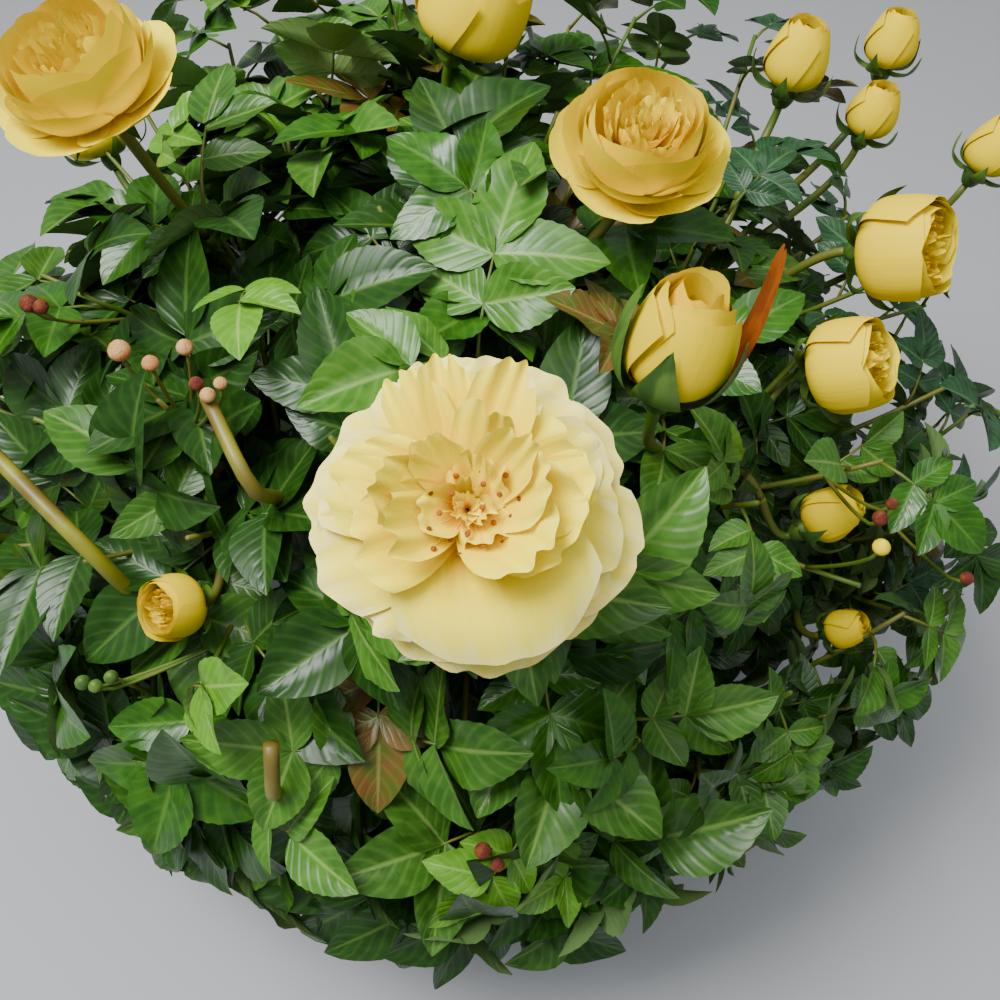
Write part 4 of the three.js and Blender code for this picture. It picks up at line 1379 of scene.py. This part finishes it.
class Foliage:
    """Every twig and compound leaf, grown by the part's own rule and carried to more, finer twigs."""

    TWIGS = 152
    TWIG_DEPTH = 30.0
    # Twigs that end deep inside the crown; their leaves all get the darkest green as painted shade.
    INNER_TWIGS = 60
    INNER_DEPTH = 112.0
    # Where the tall young shoots behind reach: across, back and up.
    RISER_ACROSS = (-250, -215, -180, -146, -112, -78, -44, -12, 22, 56, 90, 124, 158, 196)
    RISER_BACK = (196, 226)
    RISER_TOP = 448.0
    RISER_DEPTH = 6.0
    # How far out leaves reach, as the crown's value: on the crown, and on the young shoots.
    CROWN_LIMIT = 1.16
    RISER_LIMIT = 5.0
    FULL_LEAFLET = 50.0
    LEAF_STALK = 48.0
    # The loss of size of leaves on the right and behind.
    SMALLER_RIGHT = 0.42
    SMALLER_BEHIND = 0.14
    # The least and most of a leaflet's width, fold, droop and wave, as shares of its length.
    WIDTH = (0.6, 0.76)
    FOLD = (0.08, 0.36)
    DROOP = (0.02, 0.28)
    WAVE = (0, 0.05)
    # The radii at foot and tip of a mass's stem, a twig, a leaf stalk and a spent bud's stalk.
    STEM_RADII = (2.9, 1.6)
    TWIG_RADII = (1.9, 1.1)
    STALK_RADII = (0.95, 0.6)
    BUD_STALK_RADII = (1.0, 0.8)
    REACH_LIMITS = ((-325, 325), (-262, 305), (52, 545))
    LEAF_PLACES = (0.4, 0.56, 0.7, 0.84, 0.985)
    # Each leaflet's place along the rachis, side, splay in degrees and share of full size.
    LEAFLETS = (
        (1.0, 0, 0, 1.0),
        (0.93, 1, 68, 0.88),
        (0.93, -1, 68, 0.88),
        (0.55, 1, 72, 0.74),
        (0.55, -1, 72, 0.74),
    )
    FINE = Blade(21, 7, True)
    COARSE = Blade(9, 5, False)

    def __init__(self, skeleton: Skeleton, flowers: tuple[Flower, ...], eye: np.ndarray) -> None:
        """Grows the twigs and leaves.

        Args:
            skeleton: the limbs.
            flowers: the flowers, already grown.
            eye: the camera's place, from which leaves don't hide the flowers.
        """
        self.skeleton = skeleton
        self.flowers = flowers
        self.random = np.random.default_rng(SEED)
        self.seeds = np.array([polar(m.azimuth, *m.tier.seed) for m in MASSES])
        self.rods = [rod for flower in flowers for rod in flower.keep_clear(eye)]
        for bud in SPENT_BUDS:
            at = vec(*bud.at)
            self.rods.append((at, at + unit(eye - at) * 120, bud.radius + 4))
        for cane in OLD_CANES:
            for start, end in zip(cane.way[1:], cane.way[2:]):
                for lift in (0, 14, 28, 42):
                    rise = unit(eye - vec(*start)) * lift
                    self.rods.append((vec(*start) + rise, vec(*end) + rise, 9.0))
        self.twigs: list[Course] = []
        self.stalks: list[Course] = []
        self.leaflets: list[Leaflet] = []
        targets = [(point, self.TWIG_DEPTH, self.CROWN_LIMIT) for point in CROWN.spread(self.TWIGS)]
        targets += [(point, self.INNER_DEPTH, self.CROWN_LIMIT) for point in CROWN.spread(self.INNER_TWIGS)]
        for order, across in enumerate(self.RISER_ACROSS):
            height = self.RISER_TOP - 40 * (across / 250) ** 2 - 26 * (order % 2)
            riser = vec(across, self.RISER_BACK[order % 2], height)
            targets.append((riser, self.RISER_DEPTH, self.RISER_LIMIT))
        for index, (target, depth, limit) in enumerate(targets):
            self.grow_twig(index, target, depth, limit)

    def clear(self, points: np.ndarray, spare: float = 0.0) -> bool:
        """True where no point is in a rod of kept space.

        Args:
            points: the points to test.
            spare: how far they stay from the rods.

        Returns:
            True when all of them are clear.
        """
        for start, end, radius in self.rods:
            rod = end - start
            share = np.clip((points - start) @ rod / (rod @ rod), 0, 1)
            nearest = start + share[:, None] * rod
            if np.any(np.linalg.norm(points - nearest, axis=1) < radius + spare):
                return False
        return True

    def grow_twig(self, index: int, target: np.ndarray, depth: float, limit: float) -> None:
        """One twig from its mass's stem towards a point of the crown, with its leaves.

        Args:
            index: its number, which seeds it.
            target: the point of the crown.
            depth: how far below that point it ends.
            limit: how far out of the crown its leaves reach, as the crown's value.
        """
        random = SeededNumbers(SEED + 100 + index)
        mass_index = int(np.argmin(np.linalg.norm(self.seeds - target, axis=1)))
        mass = MASSES[mass_index]
        outward = CROWN.normal(target)
        root = self.skeleton.stems[mass.name].at(0.25 + 0.7 * random.next())
        tip = target - outward * depth
        sag = vec(0, 0, -np.linalg.norm(tip - root) * 0.12)
        course = Course.bezier(root, (root + tip) / 2 + sag, tip)
        first_angle = random.next() * 2 * math.pi
        self.twigs.append(course)
        inner = depth > self.TWIG_DEPTH
        for order, share in enumerate(self.LEAF_PLACES):
            angle = first_angle + order * GOLDEN_ANGLE
            self.grow_leaf(course.at(share), outward, angle, mass_index, 0.0 if inner else share, limit)

    def tone(self, root: np.ndarray, outward: np.ndarray, share: float) -> int:
        """Which green a spray gets, from where it grows; the darkest green given inside and under the crown
        is painted shade.

        Args:
            root: where it leaves its twig.
            outward: straight out of the crown there.
            share: its place along the twig, 0 inside the crown.

        Returns:
            The place in LEAF_TONES.
        """
        draw = self.random.random()
        # Painted shade: every leaf inside the crown gets the darkest green.
        if not share:
            return DARK
        if draw > 0.985:
            return BRONZE
        # Painted shade: leaves low on a twig or under the crown are mostly the darkest green. Elsewhere the
        # greens are dealt out at random as the leaves' own tones.
        if share < 0.6 or outward[2] < 0:
            return DARK if draw < 0.7 else MID
        if share > 0.9 and root[2] > 230 and draw < 0.14:
            return YOUNG
        if root[0] > 110 and root[1] > -60:
            return BLUE if draw < 0.7 else DARK
        for tone, below in ((MID, 0.42), (LIGHT, 0.62), (DARK, 0.84)):
            if draw < below:
                return tone
        return WET

    def leaf_size(self, root: np.ndarray) -> float:
        """The share of full size that leaves have: smaller on the right and behind.

        Args:
            root: where the leaf grows.

        Returns:
            The share.
        """
        right = float(smooth_step(root[0], 30, 150))
        behind = float(smooth_step(root[1], 60, 220))
        return (1 - self.SMALLER_RIGHT * right) * (1 - self.SMALLER_BEHIND * behind)

    def grow_leaf(
        self, root: np.ndarray, outward: np.ndarray, angle: float, mass_index: int, share: float, limit: float
    ) -> None:
        """A compound leaf: its stalk and those of its leaflets that have room.

        Args:
            root: where it leaves the twig.
            outward: straight out of the crown there.
            angle: its bearing about outward.
            mass_index: the mass it belongs to.
            share: its place along the twig, 0 for one inside the crown.
            limit: how far out of the crown it may reach.
        """
        draw = self.random
        helper = vec(0, 1, 0) if abs(outward[2]) > 0.9 else UP
        east = unit(np.cross(helper, outward))
        north = np.cross(outward, east)
        direction = unit(0.35 * outward + math.cos(angle) * east + math.sin(angle) * north)
        facing = unit(outward + UP * 0.8 + draw.normal(0, 0.25, 3))
        side = unit(np.cross(facing, direction))
        up = np.cross(direction, side)
        tone = self.tone(root, outward, share)
        size = self.leaf_size(root) * draw.uniform(0.76, 1.1) * (0.7 if tone == YOUNG else 1.0)
        length = self.LEAF_STALK * size
        tip = root + direction * length + up * length * 0.3
        stalk = Course.bezier(root, root + direction * length * 0.4 + up * length * 0.3, tip)
        if not self.clear(stalk.at(np.linspace(0.2, 1, 5)), 2.0):
            return
        kept = []
        for place, hand, splay, share_of_size in self.LEAFLETS:
            tangent = stalk.tangent(place)
            turn = math.radians(splay + draw.normal(0, 6)) * hand
            forward = math.cos(turn) * tangent + math.sin(turn) * side
            normal = unit(np.cross(tangent, side) + draw.normal(0, 0.16, 3))
            across = unit(np.cross(normal, forward))
            normal = np.cross(forward, across)
            reach = self.FULL_LEAFLET * size * share_of_size * draw.uniform(0.92, 1.08)
            foot = stalk.at(place)
            middle = foot + forward * reach * 0.45
            spread = across * 0.3 * reach
            ahead = foot + forward * reach * 0.55, foot + forward * reach
            probes = np.array([*ahead, middle + spread, middle - spread])
            lows, highs = np.array(self.REACH_LIMITS, dtype=float).T
            outside = np.any(probes < lows) or np.any(probes > highs)
            if outside or np.any(CROWN.value(probes) > limit) or not self.clear(probes):
                if not hand:
                    return
                continue
            kept.append(
                Leaflet(
                    root=foot, forward=forward, across=across, normal=normal, length=reach,
                    width=reach * draw.uniform(*self.WIDTH), fold=draw.uniform(*self.FOLD),
                    droop=draw.uniform(*self.DROOP), wave=draw.uniform(*self.WAVE),
                    phase=draw.uniform(0, 6.3), tone=tone, mass=mass_index,
                    fine=bool(share > 0.6 and outward[2] > -0.3),
                )
            )
        self.leaflets.extend(kept)
        self.stalks.append(stalk)

    def sheets(self, chosen: list[Leaflet], blade: Blade) -> np.ndarray:
        """The blades of these leaflets, of shape (leaflets, rows, columns, 3).

        Args:
            chosen: the leaflets.
            blade: their outline.

        Returns:
            The points of all of them.
        """
        along, across = blade.grid()

        def each(key: str) -> np.ndarray:
            """One number for each leaflet, ready to meet a grid."""
            return np.array([getattr(leaf, key) for leaf in chosen])[:, None, None]

        def axis(key: str) -> np.ndarray:
            """One direction for each leaflet, ready to meet a grid."""
            return np.array([getattr(leaf, key) for leaf in chosen])[:, None, None, :]

        length, width = each("length"), each("width")
        x = along[None] * length
        y = across[None] * width / 2
        rise = np.abs(y) * each("fold") * 2 - each("droop") * length * along[None] ** 2
        rise = rise - 0.5 * each("fold") * np.abs(across[None]) ** 3 * width / 2
        rise = rise + each("wave") * length * np.sin(9 * along[None] + each("phase")) * np.abs(across[None])
        return (
            axis("root")
            + axis("forward") * x[..., None]
            + axis("across") * y[..., None]
            + axis("normal") * rise[..., None]
        )

    def build(self, finishes: dict[str, bpy.types.Material]) -> list[bpy.types.Object]:
        """Makes the leaves of each mass as one piece, and all twigs as another.

        Args:
            finishes: the built materials by name.

        Returns:
            The pieces, each already riding and replacing its CAD nodes.
        """
        pieces = []
        tones = [finishes[tone.name] for tone in LEAF_TONES]
        for mass_index, mass in enumerate(MASSES):
            pile = MeshPile()
            own = [leaf for leaf in self.leaflets if leaf.mass == mass_index]
            for fine, blade in ((True, self.FINE), (False, self.COARSE)):
                chosen = [leaf for leaf in own if leaf.fine is fine]
                if chosen:
                    pile.add(self.sheets(chosen, blade), np.array([leaf.tone for leaf in chosen]))
            piece = pile.build("leaves_" + mass.name, tones)
            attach(piece, "root")
            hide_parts("foliage_" + mass.name)
            pieces.append(piece)
        pieces.append(self.build_twigs(finishes))
        log.info("leaflets %d, fine %d", len(self.leaflets), sum(leaf.fine for leaf in self.leaflets))
        return pieces

    def build_twigs(self, finishes: dict[str, bpy.types.Material]) -> bpy.types.Object:
        """All the stems, shoots, twigs and leaf stalks as one piece.

        Args:
            finishes: the built materials by name.

        Returns:
            The piece.
        """
        pile = MeshPile()
        for course in self.skeleton.stems.values():
            pile.add(tube(course, np.linspace(*self.STEM_RADII, 12), 10), 0, wrap=True)
        for flower in self.flowers:
            radii = np.linspace(SHOOT_RADIUS, min(SHOOT_RADIUS, flower.form.value.stalk), 12)
            pile.add(tube(flower.shoot, radii, 10), 0, wrap=True)
        for course in self.twigs:
            pile.add(tube(course, np.linspace(*self.TWIG_RADII, 9), 6), 0, wrap=True)
        for course in self.stalks:
            pile.add(tube(course, np.linspace(*self.STALK_RADII, 4), 5), 0, wrap=True)
        for cane in OLD_CANES:
            radii = np.linspace(cane.radius * 1.15, cane.radius, 24)
            pile.add(tube(cane.course(self.skeleton), radii, 12), ON_OLD_CANE, wrap=True)
        for bud in SPENT_BUDS:
            body, stalk = bud.grow(self.twigs)
            swell = bud.radius * np.sin(np.linspace(0.25, math.pi * 0.92, 9))
            pile.add(tube(body, swell, 12), bud.finish, wrap=True)
            pile.add(tube(stalk, np.linspace(*self.BUD_STALK_RADII, 8), 6), 0, wrap=True)
        skins = (TWIG_SKIN, SEPAL_SKIN, SPENT_SKIN, WITHERED_SKIN, GOLD_PETAL, CANE_SKIN)
        piece = pile.build("twigs", [finishes[skin.name] for skin in skins])
        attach(piece, "root")
        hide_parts(*("foliage_" + mass.name for mass in MASSES))
        return piece


# The stem base, canes and branches


@dataclass(frozen=True)
class Wood:
    """The barked stem base and the canes and branches, with their nodes and prickles."""

    base_height: float = 58.0
    foot_radius: float = 22.0
    neck_radius: float = 13.0
    knob_radius: float = 18.0
    cane_radii: tuple[float, float] = (5.4, 3.3)
    branch_radii: tuple[float, float] = (4.0, 2.8)
    node_spacing: float = 38.0
    prickle_spacing: float = 24.0

    def build(self, skeleton: Skeleton, finishes: dict[str, bpy.types.Material]) -> list[bpy.types.Object]:
        """Makes the base, the canes and the branches, each kind one piece.

        Args:
            skeleton: the limbs.
            finishes: the built materials by name.

        Returns:
            The three pieces.
        """
        pieces = [self.build_base(finishes)]
        for kind, lower in (("canes", False), ("branches", True)):
            pile = MeshPile()
            nodes = []
            for index, mass in enumerate(MASSES):
                if (mass.tier is Tier.LOWER) is lower:
                    foot, tip = self.branch_radii if lower else self.cane_radii
                    self.add_limb(pile, skeleton.limbs[mass.name], foot, tip, index)
                    nodes.append(("branch_" if lower else "cane_") + mass.name)
            piece = pile.build(kind, [finishes[CANE_SKIN.name], finishes[PRICKLE.name]])
            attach(piece, "root")
            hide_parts(*nodes)
            pieces.append(piece)
        return pieces

    def add_limb(self, pile: MeshPile, course: Course, foot: float, tip: float, seed: int) -> None:
        """One cane with swollen nodes, shallow ribs and prickles.

        Args:
            pile: what it is gathered in.
            course: its centre line.
            foot: its radius at the foot.
            tip: its radius at the tip.
            seed: its number.
        """
        rings = int(course.length / 2.2)
        sides = 20
        sheet = tube(course, np.linspace(foot, tip, rings), sides)
        centres = sheet.mean(axis=1, keepdims=True)
        along = np.linspace(0, course.length, len(sheet))[:, None]
        around = np.linspace(0, 2 * math.pi, sides, endpoint=False)[None]
        swell = 1 + 0.1 * np.exp(-(((along % self.node_spacing) - self.node_spacing / 2) ** 2) / 14)
        swell = swell + 0.03 * ridge_noise(SEED + seed, around, along)
        pile.add(centres + (sheet - centres) * swell[..., None], 0, wrap=True)
        random = np.random.default_rng(SEED + 900 + seed)
        for k in range(int(course.length / self.prickle_spacing)):
            share = (k + random.uniform(0.3, 0.9)) * self.prickle_spacing / course.length
            if share < 0.98:
                self.add_prickle(pile, course, share, foot + (tip - foot) * share, random)

    def add_prickle(
        self, pile: MeshPile, course: Course, share: float, radius: float, random: np.random.Generator
    ) -> None:
        """One hooked prickle on a limb.

        Args:
            pile: what it is gathered in.
            course: the limb's centre line.
            share: its place along the limb.
            radius: the limb's radius there.
            random: draws its bearing and size.
        """
        tangent = course.tangent(share)
        angle = random.uniform(0, 2 * math.pi)
        side = unit(np.cross(tangent, vec(0.3, 0.8, 0.4)))
        out = math.cos(angle) * side + math.sin(angle) * np.cross(tangent, side)
        size = random.uniform(3.2, 5.0)
        foot = course.at(share) + out * radius * 0.7
        hook = Course.bezier(foot, foot + out * size, foot + out * (size + 1) - tangent * size * 0.45)
        pile.add(tube(hook, np.array([1.9, 1.2, 0.65, 0.3, 0.1]), 8), 1, wrap=True)

    def build_base(self, finishes: dict[str, bpy.types.Material]) -> bpy.types.Object:
        """The knobbly stem base with furrowed bark, flared at its flat foot.

        Args:
            finishes: the built materials by name.

        Returns:
            The piece.
        """
        heights = np.linspace(0, self.base_height, 60)
        knots = [0, 0.08, 0.34, 0.5, 0.7, 0.88, 1.0]
        widths = [
            self.foot_radius, self.foot_radius * 0.86, self.neck_radius, self.neck_radius * 1.08,
            self.knob_radius, self.knob_radius * 0.92, self.knob_radius * 0.5,
        ]
        radii = np.interp(heights / self.base_height, knots, widths)
        radii = np.convolve(np.pad(radii, 2, mode="edge"), np.ones(5) / 5, "valid")[:, None]
        around = np.linspace(0, 2 * math.pi, 72, endpoint=False)[None]
        flare = np.maximum(0, 1 - heights[:, None] / (self.base_height * 0.34))
        swell = 1 + 0.14 * flare * np.cos(5 * around) + 0.03 * np.sin(2 * around + 1)
        furrows = -0.9 * np.abs(np.sin(11 * around + 0.9 * ridge_noise(3, around, heights[:, None])))
        relief = furrows + 0.5 * ridge_noise(5, 3 * around, 3 * heights[:, None])
        radii = radii * swell + relief
        ring = np.stack([np.cos(around[0]), np.sin(around[0])], -1)
        plan = radii[..., None] * ring[None]
        body = np.concatenate([plan, np.broadcast_to(heights[:, None, None], (60, 72, 1))], -1)
        bottom = np.concatenate([0.02 * plan[:1], np.zeros((1, 72, 1))], -1)
        top = np.concatenate([0.02 * plan[-1:], np.full((1, 72, 1), self.base_height)], -1)
        pile = MeshPile()
        pile.add(np.concatenate([bottom, body, top]), 0, wrap=True)
        piece = pile.build("stem_bark", [finishes[OLD_BARK.name]])
        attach(piece, "root")
        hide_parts("stem_base")
        return piece


# The studio


@dataclass(frozen=True)
class Studio:
    """A pale floor, soft daylight from above and the camera at the photograph's angle."""

    eye: tuple[float, float, float] = (15.0, -350.0, 755.0)
    tilt: float = 35.0
    lens: float = 37.8

    def build(self) -> None:
        """Makes the floor, the lights and the camera."""
        mesh = bpy.data.meshes.new("floor")
        mesh.from_pydata([(-3, -3, 0), (3, -3, 0), (3, 3, 0), (-3, 3, 0)], [], [(0, 1, 2, 3)])
        material, tree = new_material("floor_matt_paint")
        paint = {"Base Color": linear("#b4b6b8"), "Roughness": 0.9}
        shader = add_node(tree, "ShaderNodeBsdfPrincipled", links=paint)
        add_node(tree, "ShaderNodeOutputMaterial", links={"Surface": shader.outputs["BSDF"]})
        mesh.materials.append(material)
        floor = bpy.data.objects.new("floor", mesh)
        bpy.context.scene.collection.objects.link(floor)
        world = bpy.data.worlds.new("soft_daylight")
        world.use_nodes = True
        background = world.node_tree.nodes["Background"]
        background.inputs["Color"].default_value = linear("#e6ecf4")
        background.inputs["Strength"].default_value = 0.36
        bpy.context.scene.world = world
        self.add_light("key", (-0.6, -0.2, 1.8), 0.7, 40)
        self.add_light("sky", (0.4, -0.3, 2.2), 1.8, 20)
        camera = bpy.data.cameras.new("camera")
        camera.sensor_width = 36
        camera.lens = self.lens
        holder = bpy.data.objects.new("camera", camera)
        holder.location = [value * MM for value in self.eye]
        holder.rotation_euler = (math.radians(self.tilt), 0, 0)
        bpy.context.scene.collection.objects.link(holder)
        bpy.context.scene.camera = holder

    def add_light(self, name: str, at: tuple[float, float, float], size: float, power: float) -> None:
        """A square soft light aimed at the crown.

        Args:
            name: its name.
            at: its place in metres.
            size: its side in metres.
            power: its watts.
        """
        light = bpy.data.lights.new(name, "AREA")
        light.size = size
        light.energy = power
        holder = bpy.data.objects.new(name, light)
        holder.location = at
        aim = unit(vec(0, 0, 0.35) - vec(*at))
        holder.rotation_euler = (
            math.acos(-aim[2]),
            0,
            math.atan2(aim[1], aim[0]) - math.pi / 2,
        )
        bpy.context.scene.collection.objects.link(holder)


def main() -> None:
    """Builds the bush, class by class, and the studio around it."""
    logging.basicConfig(level=logging.INFO, format="%(name)s: %(message)s")
    studio = Studio()
    studio.build()
    tones = (*LEAF_TONES, PALE_PETAL, RICH_PETAL, LEMON_PETAL, GOLD_PETAL, TWIG_SKIN, CANE_SKIN)
    tones = (*tones, OLD_BARK, SEPAL_SKIN, ANTHER, PRICKLE, TIP_SKIN, SPENT_SKIN, WITHERED_SKIN)
    finishes = {finish.name: finish.build() for finish in tones}
    skeleton = Skeleton()
    for order, flower in enumerate(FLOWERS):
        flower.grow(skeleton, order)
    pieces = Wood().build(skeleton, finishes)
    pieces += Foliage(skeleton, FLOWERS, vec(*studio.eye)).build(finishes)
    for flower in FLOWERS:
        pieces += flower.build(finishes)
    total = 0
    for piece in pieces:
        triangles = 2 * len(piece.data.polygons)
        total += triangles
        log.info("%s: %d triangles", piece.name, triangles)
    log.info("%d pieces, %d triangles", len(pieces), total)


if __name__ == "__main__":
    main()
